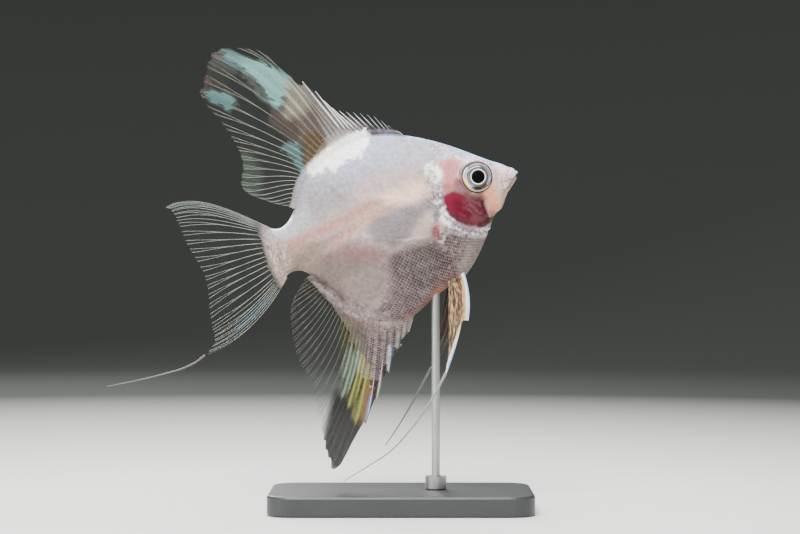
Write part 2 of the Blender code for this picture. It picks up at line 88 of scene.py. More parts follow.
# Body outline: x, z down the middle of the back and of the belly
BACK = (
    (-4.2, 8.5), (-2.5, 7.6), (-1, 6.3), (0.8, 5.75), (3, 6.5), (5, 8.3), (7, 10.9),
    (9, 13.7), (11, 15.5), (14, 17.2), (18, 18.9), (22, 20), (26, 20.4), (30, 19.9),
    (34, 18.7), (38, 16.9), (42, 14.6), (46, 11.9), (50, 8.75), (54, 5.4), (57.2, 3.1),
    (58.3, 2.1), (59.4, 1.3), (60, 0.2),
)
BELLY = (
    (-4.2, -8), (-2.5, -7.2), (-1, -6), (0.8, -5.65), (3, -6.4), (4.8, -8.4),
    (6.5, -11.8), (9, -17), (12, -20.9), (16, -23.7), (20, -25.1), (24, -25.4),
    (27, -24.4), (31, -22.6), (36, -21), (40, -19.7), (43, -17.7), (46, -14.8),
    (48.6, -11.8), (50, -10), (51.5, -8.3), (54, -6.9), (55, -5.6), (57, -3.4),
    (59.2, -1.5), (60, -0.5),
)
# x, half the width, and the height at which the body is widest
GIRTH = (
    (-4.2, 0.42, 0), (-2.5, 0.95, 0), (0.5, 2.1, 0), (5, 2.8, -0.2), (12, 3.9, -0.8),
    (20, 4.8, -2.5), (30, 5.4, -4), (37, 5.7, -4), (42, 5.8, -2.5), (46, 5.5, -1),
    (50, 4.8, 0.5), (53.5, 3.9, 0.4), (56.5, 2.8, 0), (58.5, 2.1, -0.05),
    (59.5, 1.5, -0.1), (60, 0.7, -0.15),
)
KEEL = 1.2                          # above 1 the back and belly narrow to an edge

# Lines of the head
GILL_MARGIN = (
    (45, 9.6), (43.9, 8.4), (42, 6), (40.5, 3), (39.8, 0), (39.3, -2.5), (39.8, -4.7),
    (41.2, -7), (43.5, -9.2), (46, -10.5), (48.5, -11.1), (50.4, -10.7),
)
MOUTH = ((60.6, -0.15), (59.3, -0.85), (58, -1.85), (57, -2.65), (56.1, -3.2))

# Fin rays: number, root x, tip x and z, the headings in degrees at root and tip, and
# how far along the ray the web behind it reaches. The tail, pelvic and pectoral rows
# give the root's z after its x. Rays between are read off smoothly.
DORSAL_RAYS = (
    (0, 36.2, 35.0, 19.3, 115, 115, 0.8), (3, 33.2, 31.3, 24.0, 113, 113, 0.72),
    (6, 30.0, 26.8, 26.6, 114, 116, 0.74), (9, 26.8, 22.2, 29.4, 113, 118, 0.8),
    (12, 23.6, 17.5, 37.8, 107, 108, 0.93), (13, 22.5, 14.0, 41.6, 106, 112, 0.86),
    (14, 21.4, 10.3, 48.0, 106, 120, 0.74), (15, 20.3, 6.1, 50.3, 107, 142, 0.76),
    (16, 19.2, 1.3, 51.9, 110, 142, 0.95), (18, 17.2, -3.3, 49.6, 114, 134, 1),
    (19, 16.2, -5.0, 46.4, 116, 136, 1), (20, 15.2, -7.2, 43.4, 119, 138, 1),
    (22, 13.4, -4.2, 33.6, 125, 142, 1), (25, 11.3, -2.6, 25.0, 134, 152, 1),
    (29, 9.0, -4.6, 17.4, 150, 146, 1), (32, 7.3, 0.2, 12.7, 162, 152, 1),
    (35, 5.5, 5.0, 9.6, 165, 165, 1),
)
ANAL_RAYS = (
    (0, 24.6, 23.1, -27.8, 239, 239, 0.6), (1, 23.0, 20.6, -29.6, 241, 241, 0.66),
    (2, 21.3, 18.1, -32.1, 243, 243, 0.72), (3, 19.6, 14.7, -36.4, 246, 246, 0.8),
    (4, 18.0, 9.0, -42.9, 248, 240, 0.84), (5, 16.4, 5.4, -46.3, 247, 238, 0.9),
    (6, 15.0, -3.4, -53.5, 246, 228, 0.95), (8, 13.7, -5.9, -51.0, 245, 226, 1),
    (10, 12.4, -5.6, -46.5, 243, 222, 1), (14, 10.2, -4.3, -34, 236, 212, 1),
    (18, 8.4, -5.2, -26.4, 228, 206, 1), (22, 7.0, -4.6, -19.6, 218, 204, 1),
    (26, 5.7, -2.5, -13, 206, 205, 1), (30, 4.2, 2.6, -8.2, 195, 195, 1),
)
TAIL_RAYS = (
    (0, -2.2, 7.4, -23.8, 19.3, 137, 192, 1), (1, -2.3, 6.8, -22.6, 18.3, 139, 186, 1),
    (3, -2.5, 5.5, -21.9, 14.2, 148, 170, 1), (5, -2.7, 3.9, -21.6, 9.6, 158, 166, 1),
    (7, -2.8, 2.1, -20.7, 4.9, 168, 168, 1), (8.5, -2.9, 0.6, -20, 0.9, 176, 176, 1),
    (10, -2.9, -0.8, -20.2, -2.4, 184, 186, 1),
    (12, -2.8, -2.7, -21.3, -7, 196, 198, 1),
    (14, -2.6, -4.6, -22.2, -11.6, 208, 194, 1),
    (16, -2.3, -6.3, -23, -15.8, 218, 185, 1),
    (17, -2.1, -7.3, -25.5, -17.9, 222, 181, 1),
)
PELVIC_RAYS = (
    (0, 39.7, -18, 37, -30.3, 272, 240, 1), (0.45, 39.4, -18, 34.9, -30.8, 270, 238, 1),
    (1, 39, -18, 28, -40.3, 268, 228, 1),
    (2, 38.3, -18, 28.4, -39.2, 262, 226, 1), (3, 37.6, -18, 29.7, -36.6, 256, 228, 1),
    (4, 37, -18, 31.6, -31.6, 250, 240, 1), (5, 36.4, -18, 33.3, -26.3, 246, 244, 1),
)
PECTORAL_RAYS = (
    (0, 36.1, -9.8, 28.6, -9.2, 182, 176, 1), (1, 36.2, -9.3, 24.0, -6.6, 178, 166, 1),
    (3, 36.4, -8.6, 21.9, -3.4, 172, 158, 1), (5, 36.6, -8, 22.4, -0.2, 164, 152, 1),
    (7, 36.9, -7.4, 25, 1.9, 155, 146, 1), (9, 37.2, -6.8, 28.6, 2, 146, 140, 1),
    (11, 37.5, -6.3, 32.6, -0.5, 138, 135, 1),
)
PELVIC_ROOT = 1.5                   # pelvic root out from the middle plane
PELVIC_LEVEL = -18                  # height of the pelvic roots
PELVIC_SPLAY = 0.13                 # outward lean for each unit of drop
FAR_PELVIC_SWING = math.radians(7)  # the left pelvic fin trails further back
PECTORAL_FLARE = math.radians(17)   # outward lean of the pectoral fin from the flank
PECTORAL_ROOT = 5.85                # pectoral root out from the middle plane
PECTORAL_FRONT = 37.5               # the pectoral fin leans out from here backwards

# Trailing streamers: x, z along each, from the fin tip that carries it
TAIL_STREAMER = ((-25.9, -17.8), (-28, -18.6), (-31, -19.1), (-36, -19), (-41, -18.6),
                 (-50.4, -17.4))
RIGHT_STREAMER = ((27.8, -40.6), (24.5, -43.8), (20, -47.5), (15, -50.9), (9, -54.1),
                  (3, -55.7), (-3.7, -57.2))
LEFT_STREAMER = ((25.1, -38.5), (23, -40.4), (19.5, -43.7), (15, -47.7), (11.5, -50.6),
                 (8, -53.3))


# Curves and fields on arrays --------------------------------------------------------
def read_curve(keys: Rows, at: Array) -> Array:
    """Read a smooth curve through rows of a place and its values.

    Formula: a cubic Hermite between neighbouring rows, with central-difference slopes.

    Args:
        keys: rows of (place, value, ...), places rising.
        at: places to read, of any shape.

    Returns:
        The values, with one more axis than the places.
    """
    table = np.array(keys, float)
    at = np.asarray(at, float)
    place, value = table[:, 0], table[:, 1:]
    slope = np.gradient(value, place, axis=0)
    i = np.clip(np.searchsorted(place, at, side="right") - 1, 0, len(place) - 2)
    step = (place[i + 1] - place[i])[..., None]
    s = (at - place[i])[..., None] / step
    rise = value[i + 1] - value[i]
    return (value[i] + rise * s * s * (3 - 2 * s)
            + slope[i] * step * s * (1 - s) ** 2
            + slope[i + 1] * step * s * s * (s - 1))


def smooth_path(points: Rows, count: int) -> Array:
    """Space points evenly, by chord length, along a smooth path through the given ones.

    Args:
        points: the path's own points.
        count: how many points to return.

    Returns:
        The spaced points as an array.
    """
    route = np.array(points, float)
    reach = np.r_[0, np.cumsum(np.linalg.norm(np.diff(route, axis=0), axis=1))]
    return read_curve(np.column_stack((reach, route)), np.linspace(0, reach[-1], count))


def soft_step(low: float, high: float, value: Array) -> Array:
    """Ramp from 0 at low to 1 at high by s * s * (3 - 2 * s)."""
    s = np.clip((value - low) / (high - low), 0, 1)
    return s * s * (3 - 2 * s)


def bell(value: Array, width: float) -> Array:
    """A bell of height 1, exp(-(value / width) squared)."""
    return np.exp(-(value / width) ** 2)


def fade(along: Array, start: float, stop: float) -> Array:
    """Ramp up from the path's first end to start, and down from stop to its last end."""
    return soft_step(0, start, along) * soft_step(1, stop, along)


def oval_bell(flat: Array, centre: Row, radii: Row, tilt: float, power: float) -> Array:
    """A bell of height 1 over an oval, flatter on top with a higher power.

    Formula: exp(-d ** power), where d is the sum of the squares of the distances along
    and across the oval, each over its radius.

    Args:
        flat: points as (n, 2).
        centre: the oval's middle.
        radii: its half sizes along and across.
        tilt: degrees from +x towards +z.
        power: how flat the top is.

    Returns:
        One value for each point.
    """
    c, s = math.cos(math.radians(tilt)), math.sin(math.radians(tilt))
    rel = flat - np.array(centre)
    along = (rel[:, 0] * c + rel[:, 1] * s) / radii[0]
    across = (rel[:, 1] * c - rel[:, 0] * s) / radii[1]
    return np.exp(-(along ** 2 + across ** 2) ** power)


def tint(paint: Array, cover: Array, colour: Row) -> None:
    """Lay a colour over paint, in place, by a cover for each point."""
    paint[:, :3] += cover.reshape(-1, 1) * (np.array(colour) - paint[:, :3])


def mottle(flat: Array, size: float, seed: int) -> Array:
    """Smooth random values from 0 to 1: a square lattice of them, blended by soft steps.

    Args:
        flat: points as (..., 2).
        size: width of a lattice cell.
        seed: picks the lattice, so that each run is the same.

    Returns:
        One value for each point.
    """
    span = 64
    lattice = np.random.default_rng(seed).random((span, span))
    cell = flat / size
    corner = np.floor(cell).astype(int)
    s = cell - corner
    s = s * s * (3 - 2 * s)
    i, j = corner[..., 0] % span, corner[..., 1] % span
    far_i, far_j = (i + 1) % span, (j + 1) % span
    low = lattice[i, j] * (1 - s[..., 0]) + lattice[far_i, j] * s[..., 0]
    high = lattice[i, far_j] * (1 - s[..., 0]) + lattice[far_i, far_j] * s[..., 0]
    return low * (1 - s[..., 1]) + high * s[..., 1]


def path_distance(flat: Array, path: Array) -> tuple[Array, Array]:
    """Signed distance from flat points to a path, and the place along it.

    Formula: the least distance to any straight length of the path, its sign that of
    the cross product, so it is positive on the left of the path's direction.

    Args:
        flat: points as (n, 2).
        path: the path's points as (m, 2).

    Returns:
        The signed distances, and how far along the path from 0 to 1 each is nearest.
    """
    start, run = path[:-1], np.diff(path, axis=0)
    rel = flat[:, None] - start
    along = np.clip((rel * run).sum(-1) / (run * run).sum(-1), 0, 1)
    distance = np.linalg.norm(rel - along[..., None] * run, axis=-1)
    nearest = distance.argmin(axis=1)
    pick = np.arange(len(flat))
    cross = run[nearest, 0] * rel[pick, nearest, 1] - run[nearest, 1] * rel[pick, nearest, 0]
    place = (nearest + along[pick, nearest]) / len(run)
    return distance[pick, nearest] * np.where(cross < 0, -1, 1), place


def rounded(outline: Rows, steps: int = 4) -> Array:
    """Round off a closed outline: a Catmull-Rom curve through its corners.

    Args:
        outline: the corners, the last not repeated.
        steps: points from one corner to the next.

    Returns:
        The curve's points, the last not repeated.
    """
    here = np.array(outline, float)[:, None]
    before, after, beyond = (np.roll(here, shift, axis=0) for shift in (1, -1, -2))
    t = np.linspace(0, 1, steps, endpoint=False)[None, :, None]
    return 0.5 * (2 * here + (after - before) * t
                  + (2 * before - 5 * here + 4 * after - beyond) * t ** 2
                  + (3 * here - before - 3 * after + beyond) * t ** 3).reshape(-1, 2)


def flattened(points: Array) -> Array:
    """The x and z of points of any grid, as (n, 2)."""
    return points[..., (0, 2)].reshape(-1, 2)


def eye_distance(points: Array) -> Array:
    """Distance of points from the line through both eyes."""
    return np.linalg.norm(points[..., (0, 2)] - np.array(EYE_CENTRE), axis=-1)


def within(flat: Array, points: Rows, margin: float) -> Array:
    """Whether flat points lie in the upright box of some points, with a margin."""
    low, high = np.min(points, axis=0) - margin, np.max(points, axis=0) + margin
    return ((flat > low) & (flat < high)).all(axis=-1)


def outline_depth(flat: Array, outline: Rows) -> Array:
    """Distance inside a closed outline, negative outside it.

    Formula: the distance to the nearest edge, its sign from counting how many edges a
    ray along +x crosses.

    Args:
        flat: points as (n, 2).
        outline: the outline's corners, the last not repeated.

    Returns:
        One depth for each point.
    """
    path = np.array([*outline, outline[0]], float)
    distance = np.abs(path_distance(flat, path)[0])
    near, far = path[:-1], path[1:]
    x, z = flat[:, :1], flat[:, 1:]
    spans = (near[:, 1] > z) != (far[:, 1] > z)
    rise = np.where(far[:, 1] == near[:, 1], 1e-9, far[:, 1] - near[:, 1])
    crossing = near[:, 0] + (z - near[:, 1]) / rise * (far[:, 0] - near[:, 0])
    inside = (spans & (x < crossing)).sum(axis=1) % 2 == 1
    return np.where(inside, distance, -distance)


@dataclass(frozen=True)
class FishFrame:
    """The fish's own frame and its place in the row frame, found from both eyes."""

    pitch: float = PITCH
    unit: float = MILLIMETRE

    def origin(self) -> Array:
        """Row-frame place of the fish frame's zero: the eyes' middle, less their place.

        Returns:
            The place in metres.
        """
        ends = [np.array(corner) for node in ("eye_left", "eye_right")
                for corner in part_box(node)]
        eye = self.turn(np.array((EYE_CENTRE[0], 0, EYE_CENTRE[1]), float)) * self.unit
        return np.mean(ends, axis=0) - eye

    def turn(self, points: Array) -> Array:
        """Pitch points nose up about the y axis, still in millimetres.

        Args:
            points: points in the fish frame.

        Returns:
            The turned points.
        """
        c, s = math.cos(self.pitch), math.sin(self.pitch)
        x, y, z = np.moveaxis(points, -1, 0)
        return np.stack((x * c - z * s, y, x * s + z * c), axis=-1)

    def place(self, points: Array) -> Array:
        """Carry points from the fish frame to the row frame, in metres."""
        return self.turn(points) * self.unit + self.origin()


# Meshes -----------------------------------------------------------------------------
def in_scene(name: str, data: bpy.types.ID) -> bpy.types.Object:
    """Put a new object with the given data into the scene.

    Args:
        name: the object's name.
        data: its mesh, light or camera.

    Returns:
        The object.
    """
    made = bpy.data.objects.new(name, data)
    bpy.context.scene.collection.objects.link(made)
    return made


@dataclass
class Shell:
    """One closed mesh, or many joined: points, faces and what the finishes read."""

    points: Array                   # (n, 3), fish frame
    faces: list[Array]              # arrays of point indices, one for each face size
    paint: Array                    # (n, 4), linear colour and opacity
    detail: Array                   # (n, 3), meaning set by the finish
    patches: Array | None = None    # (n, 2), place on the unwrapped skin

    @classmethod
    def merged(cls, parts: "Sequence[Shell]") -> "Shell":
        """Many shells as one.

        Args:
            parts: the shells, all of them unwrapped or none.

        Returns:
            The one shell.
        """
        shifts = np.cumsum([0] + [len(part.points) for part in parts])
        patches = None
        if parts[0].patches is not None:
            patches = np.concatenate([part.patches for part in parts])
        return cls(np.concatenate([part.points for part in parts]),
                   [faces + shift for part, shift in zip(parts, shifts)
                    for faces in part.faces],
                   np.concatenate([part.paint for part in parts]),
                   np.concatenate([part.detail for part in parts]), patches)

    def volume(self) -> float:
        """Signed volume over the faces cut into fans: positive when they face out.

        Returns:
            The volume in cubic millimetres.
        """
        total = 0.0
        for faces in self.faces:
            corner = self.points[faces]
            first, rest = corner[:, :1], corner[:, 1:]
            total += np.einsum("fki,fki->", np.broadcast_to(first, rest[:, 1:].shape),
                               np.cross(rest[:, :-1], rest[:, 1:])) / 6
        return total

    def outward(self) -> "Shell":
        """This shell with its faces turned to point out.

        Returns:
            The same shell.
        """
        if self.volume() < 0:
            self.faces = [faces[:, ::-1] for faces in self.faces]
        return self

    def build(self, name: str, fish: FishFrame, finish: bpy.types.Material,
              slot: str) -> bpy.types.Object:
        """Make the object, at the origin with its place in its mesh.

        Args:
            name: the object's name.
            fish: carries the points to the row frame.
            finish: its material.
            slot: not used.

        Returns:
            The new object, riding on the still body.
        """
        mesh = bpy.data.meshes.new(name)
        loops = np.concatenate([faces.ravel() for faces in self.faces])
        sizes = np.concatenate([np.full(len(faces), faces.shape[1])
                                for faces in self.faces])
        mesh.vertices.add(len(self.points))
        mesh.vertices.foreach_set("co", fish.place(self.points).astype("f").ravel())
        mesh.loops.add(len(loops))
        mesh.loops.foreach_set("vertex_index", loops.astype("i"))
        mesh.polygons.add(len(sizes))
        starts = np.r_[0, np.cumsum(sizes)[:-1]]
        mesh.polygons.foreach_set("loop_start", starts.astype("i"))
        mesh.update(calc_edges=True)
        mesh.validate()
        markings = mesh.attributes.new("markings", "FLOAT_COLOR", "POINT")
        markings.data.foreach_set("color", self.paint.astype("f").ravel())
        detail = mesh.attributes.new("detail", "FLOAT_VECTOR", "POINT")
        detail.data.foreach_set("vector", self.detail.astype("f").ravel())
        if self.patches is not None:
            unwrap = mesh.uv_layers.new(name="OFBake")
            unwrap.data.foreach_set("uv", self.patches[loops].astype("f").ravel())
        mesh.shade_smooth()
        mesh.set_sharp_from_angle(angle=SHARP_ANGLE)
        mesh.materials.append(finish)
        piece = in_scene(name, mesh)
        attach(piece, BODY)
        log.info("%s: %d faces", name, len(sizes))
        return piece


def grid_faces(rows: int, columns: int, wrap: bool) -> Array:
    """Four-sided faces of a grid of points numbered row by row.

    Args:
        rows: number of rows.
        columns: points in a row.
        wrap: whether each row closes on itself.

    Returns:
        Point indices as (faces, 4).
    """
    row = np.arange(rows - 1)[:, None]
    column = np.arange(columns if wrap else columns - 1)[None]
    after = (column + 1) % columns
    near, far = row * columns, (row + 1) * columns
    quads = np.stack(np.broadcast_arrays(near + column, near + after, far + after,
                                         far + column), axis=-1)
    return quads.reshape(-1, 4)


def fan_faces(ring: Array, pole: int) -> Array:
    """Triangles from a closed ring of point indices to a pole."""
    return np.column_stack((ring, np.roll(ring, -1), np.full(len(ring), pole)))


def grid_rim(rows: int, columns: int) -> Array:
    """Point indices once round the rim of a grid of points numbered row by row."""
    index = np.arange(rows * columns).reshape(rows, columns)
    return np.r_[index[0, :-1], index[:-1, -1], index[-1, :0:-1], index[:0:-1, 0]]


def capped_grid(points: Array, poles: Array, paint: Array,
                patches: Array | None = None) -> Shell:
    """Close a grid whose rows are rings with a pole past its first and last row.

    Args:
        points: (rows, columns, 3) grid.
        poles: the first and last pole.
        paint: a colour for each point; the poles take those next to them.
        patches: a place on the unwrapped skin for each point.

    Returns:
        The closed shell, its detail all 0.
    """
    rows, columns = points.shape[:2]
    count = rows * columns
    ring = np.arange(columns)
    ends = [0, count - 1]
    if patches is not None:
        patches = np.concatenate((patches, patches[ends]))
    return Shell(np.concatenate((points.reshape(-1, 3), poles)),
                 [grid_faces(rows, columns, True),
                  np.concatenate((fan_faces(ring[::-1], count),
                                  fan_faces(ring + count - columns, count + 1)))],
                 np.concatenate((paint, paint[ends])), np.zeros((count + 2, 3)),
                 patches).outward()


def tube_bundle(lines: Array, radii: Array, paint: Array, detail: Array,
                sides: int = 6) -> Shell:
    """Round tubes along many lines at once, their ends closed.

    Formula: each line point plus its radius times cos and sin of the turn, along two
    directions square to the line.

    Args:
        lines: (tubes, steps, 3) centre lines.
        radii: (tubes, steps) radii.
        paint: (tubes, steps, 4) colours.
        detail: (tubes, steps, 3) values for the finish.
        sides: points round each ring.

    Returns:
        One shell of all the tubes.
    """
    count, steps = radii.shape
    along = np.gradient(lines, axis=1)
    along /= np.linalg.norm(along, axis=2, keepdims=True)
    aside = np.cross(along, SIDEWAYS)
    aside /= np.linalg.norm(aside, axis=2, keepdims=True)
    other = np.cross(along, aside)
    turn = np.linspace(0, 2 * math.pi, sides, endpoint=False)[:, None]
    rings = (lines[:, :, None] + radii[..., None, None]
             * (np.cos(turn) * aside[:, :, None] + np.sin(turn) * other[:, :, None]))
    shift = (np.arange(count) * steps * sides)[:, None]
    ring = np.arange(sides)
    faces = [(grid_faces(steps, sides, True) + shift[..., None]).reshape(-1, 4),
             ring[::-1] + shift, ring + (steps - 1) * sides + shift]
    return Shell(rings.reshape(-1, 3), faces,
                 np.repeat(paint.reshape(-1, 4), sides, axis=0),
                 np.repeat(detail.reshape(-1, 3), sides, axis=0)).outward()


# Colours ----------------------------------------------------------------------------
class Pigment(Enum):
    """Colours of the fish, linear."""

    BACK_SILVER = (0.37, 0.385, 0.49)
    NAPE_PEARL = (0.34, 0.35, 0.39)
    # pale blue: the painted rim highlight along the forehead and the back, and a faint tint on the
    # rear back and the tail's edges
    BLUE_HIGHLIGHT_AND_TINT = (0.34, 0.66, 1)
    REAR_GREY = (0.24, 0.215, 0.205)
    FLANK_PEARL = (0.44, 0.345, 0.33)
    MID_WARM = (0.47, 0.33, 0.27)
    FRONT_PEARL = (0.82, 0.55, 0.43)
    PEACH = (0.4, 0.18, 0.125)
    PEACH_BROWN = (0.2, 0.12, 0.1)
    CREAM = (0.5, 0.27, 0.175)
    BLUSH = (0.2, 0.105, 0.1)
    LILAC_GREY = (0.22, 0.185, 0.19)
    ARMPIT_CREAM = (0.5, 0.37, 0.33)
    SMOOTH_BEIGE = (0.205, 0.16, 0.14)
    LOWER_GREY = (0.152, 0.116, 0.092)
    STALK_BUFF = (0.31, 0.215, 0.165)
    STALK_SILVER = (0.36, 0.36, 0.37)
    BELLY_OLIVE = (0.082, 0.062, 0.051)
    BELLY_DARK = (0.058, 0.039, 0.036)
    BELLY_ROSE = (0.085, 0.053, 0.047)
    # painted shadow of the pectoral fin on the belly
    PECTORAL_SHADOW = (0.04, 0.02, 0.018)
    BELLY_RUST = (0.12, 0.043, 0.036)
    BELLY_ORANGE = (0.42, 0.12, 0.033)
    BREAST_DUN = (0.095, 0.064, 0.052)
    BREAST_PALE = (0.34, 0.265, 0.24)
    UMBER_SPECK = (0.045, 0.03, 0.03)
    SLATE = (0.13, 0.17, 0.15)
    WHITE = (1, 1, 0.98)
    GILL_WHITE = (0.95, 0.9, 0.87)
    GILL_GREY = (0.21, 0.17, 0.17)
    GILL_LILAC = (0.3, 0.16, 0.25)
    CRIMSON = (0.16, 0.0005, 0.019)
    CRIMSON_DEEP = (0.085, 0.0005, 0.008)
    PLUM = (0.045, 0.012, 0.024)
    WINE = (0.035, 0.004, 0.008)
    MAROON = (0.09, 0.011, 0.022)
    MAUVE = (0.13, 0.032, 0.045)
    ROSE_BROWN = (0.12, 0.042, 0.036)
    STRAND_PINK = (0.2, 0.07, 0.085)
    BROWN_LINE = (0.05, 0.017, 0.009)
    RUST = (0.26, 0.085, 0.04)
    SALMON = (0.36, 0.12, 0.11)
    PINK_WASH = (0.58, 0.19, 0.195)
    ROSE = (0.36, 0.155, 0.165)
    MAUVE_PINK = (0.17, 0.062, 0.085)
    CHEEK_PEACH = (0.85, 0.33, 0.2)
    CHEEK_CREAM = (0.92, 0.62, 0.34)
    SNOUT = (0.88, 0.64, 0.42)
    SNOUT_GREY = (0.58, 0.44, 0.38)
    # painted rim highlight round the snout's tip
    SNOUT_TIP_HIGHLIGHT_BLUE = (0.36, 0.46, 0.72)
    MINT_FLECK = (0.42, 0.74, 0.56)
    PINK_FLECK = (0.74, 0.34, 0.4)
    LILAC_FLECK = (0.46, 0.34, 0.7)
    FLESH_PINK = (0.5, 0.12, 0.13)
    CLEAR_GREY = (0.08, 0.08, 0.062)
    CLEAR_PALE = (0.13, 0.18, 0.14)
    SMOKE = (0.01, 0.011, 0.014)
    SPINE_WHITE = (0.8, 0.88, 0.9)
    HONEY = (0.13, 0.085, 0.035)
    STONE = (0.28, 0.262, 0.235)
    TAUPE = (0.05, 0.044, 0.038)
    DORSAL_CREAM = (0.34, 0.31, 0.22)
    BLUSH_CREAM = (0.29, 0.255, 0.23)
    ICE_BLUE = (0.115, 0.255, 0.24)
    SPECKLE_TAN = (0.1, 0.13, 0.115)
    ICE_DIM = (0.055, 0.115, 0.115)
    TEAL = (0.13, 0.27, 0.26)
    RUSSET = (0.085, 0.055, 0.04)
    TIP_RED = (0.13, 0.03, 0.022)
    RAY_WHITE = (0.24, 0.26, 0.215)
    RAY_DUN = (0.11, 0.1, 0.085)
    FIN_GREEN_GOLD = (0.24, 0.24, 0.06)
    FIN_GOLD = (0.34, 0.19, 0.06)
    FIN_SAGE = (0.18, 0.235, 0.17)
    TOOTH_NAVY = (0.02, 0.05, 0.12)
    FIN_BROWN = (0.035, 0.022, 0.011)
    FIN_ROSE_GREY = (0.068, 0.043, 0.032)
    FIN_OLIVE = (0.045, 0.035, 0.022)
    FIN_VIOLET = (0.16, 0.13, 0.24)
    FIN_DUSK = (0.0124, 0.0112, 0.0093)
    SPINE_IVORY = (0.95, 0.88, 0.66)
    PELVIC_CREAM = (0.39, 0.245, 0.15)
    PELVIC_BROWN = (0.05, 0.028, 0.014)
    PELVIC_RED = (0.22, 0.06, 0.035)
    PELVIC_GOLD = (0.27, 0.135, 0.03)
    FRINGE_BLUE = (0.12, 0.32, 0.7)
    FAR_BROWN = (0.07, 0.036, 0.02)

    @property
    def rgb(self) -> Array:
        """The colour as an array."""
        return np.array(self.value, float)


@dataclass(frozen=True)
class Patch:
    """A patch of colour inside a closed outline, with a soft and perhaps ragged edge."""

    pigment: Pigment
    outline: Rows                   # corners in x and z
    soft: float = 1.0               # half the width of the soft edge
    strength: float = 1.0
    ragged: float = 0.0             # how far the edge wanders
    grain: float = 0.8              # size of the wandering
    opacity: float | None = None    # None leaves the opacity as it is

    def margin(self) -> float:
        """How far outside its corners it can reach."""
        return OUTLINE_BULGE + self.soft + self.ragged

    def mask(self, flat: Array) -> Array:
        """Cover at each flat point, from 0 outside to the strength inside.

        Args:
            flat: points as (n, 2).

        Returns:
            One value for each point.
        """
        depth = outline_depth(flat, rounded(self.outline))
        if self.ragged:
            depth = depth + self.ragged * (2 * mottle(flat, self.grain, 5) - 1)
        return self.strength * soft_step(-self.soft, self.soft, depth)


@dataclass(frozen=True)
class Freckles:
    """Small irregular flecks scattered inside a closed outline."""

    pigment: Pigment
    outline: Rows
    grain: float                    # size of a fleck
    cover: float = 0.5              # share of the area they take
    strength: float = 1.0
    soft: float = 0.8               # half the width of the outline's soft edge
    seed: int = 17
    opacity: float | None = None

    def margin(self) -> float:
        """How far outside its corners it can reach."""
        return OUTLINE_BULGE + self.soft

    def mask(self, flat: Array) -> Array:
        """Cover at each flat point: the patch, times where a random field is high.

        Args:
            flat: points as (n, 2).

        Returns:
            One value for each point.
        """
        inside = soft_step(-self.soft, self.soft,
                           outline_depth(flat, rounded(self.outline)))
        field_value = (0.65 * mottle(flat, self.grain, self.seed)
                       + 0.35 * mottle(flat, self.grain * 0.47, self.seed + 1))
        edge = 0.72 - 0.44 * self.cover
        return self.strength * inside * soft_step(edge - 0.09, edge + 0.09, field_value)


@dataclass(frozen=True)
class Spot:
    """A round or oval patch whose colour falls off as a bell from its middle."""

    pigment: Pigment
    centre: Row
    radii: Row
    tilt: float = 0.0               # degrees from +x towards +z
    strength: float = 1.0
    opacity: float | None = None

    @property
    def outline(self) -> Rows:
        """Its middle, as the only corner."""
        return (self.centre,)

    def margin(self) -> float:
        """How far from its middle it can reach."""
        return 1.8 * max(self.radii)

    def mask(self, flat: Array) -> Array:
        """Cover at each flat point."""
        return self.strength * oval_bell(flat, self.centre, self.radii, self.tilt, 1.5)


@dataclass(frozen=True)
class Stripe:
    """A line of colour that follows a path and fades at both ends."""

    pigment: Pigment
    outline: Rows                   # the path
    width: float
    strength: float = 1.0
    opacity: float | None = None

    def margin(self) -> float:
        """How far from its path it can reach."""
        return PATH_BULGE + 2.2 * self.width

    def mask(self, flat: Array) -> Array:
        """Cover at each flat point: a bell across the path, faded at both ends.

        Args:
            flat: points as (n, 2).

        Returns:
            One value for each point.
        """
        distance, along = path_distance(flat, smooth_path(self.outline, 16))
        return self.strength * bell(distance, self.width) * fade(along, 0.15, 0.85)


Mark = Patch | Freckles | Spot | Stripe


@dataclass(frozen=True)
class Painting:
    """A ground colour and the marks laid over it, in order."""

    ground: Pigment
    marks: tuple[Mark, ...]
    opacity: float = 1.0

    def colours(self, flat: Array) -> Array:
        """Linear colour and opacity at flat points given as (n, 2).

        Args:
            flat: points as (n, 2).

        Returns:
            Red, green, blue and opacity for each point.
        """
        paint = np.tile(np.append(self.ground.rgb, self.opacity), (len(flat), 1))
        for mark in self.marks:
            near = within(flat, mark.outline, mark.margin())
            cover = mark.mask(flat[near])[:, None]
            under = paint[near]
            over = under.copy()
            over[:, :3] = mark.pigment.rgb
            if mark.opacity is not None:
                over[:, 3] = mark.opacity
            paint[near] = under + cover * (over - under)
        return paint


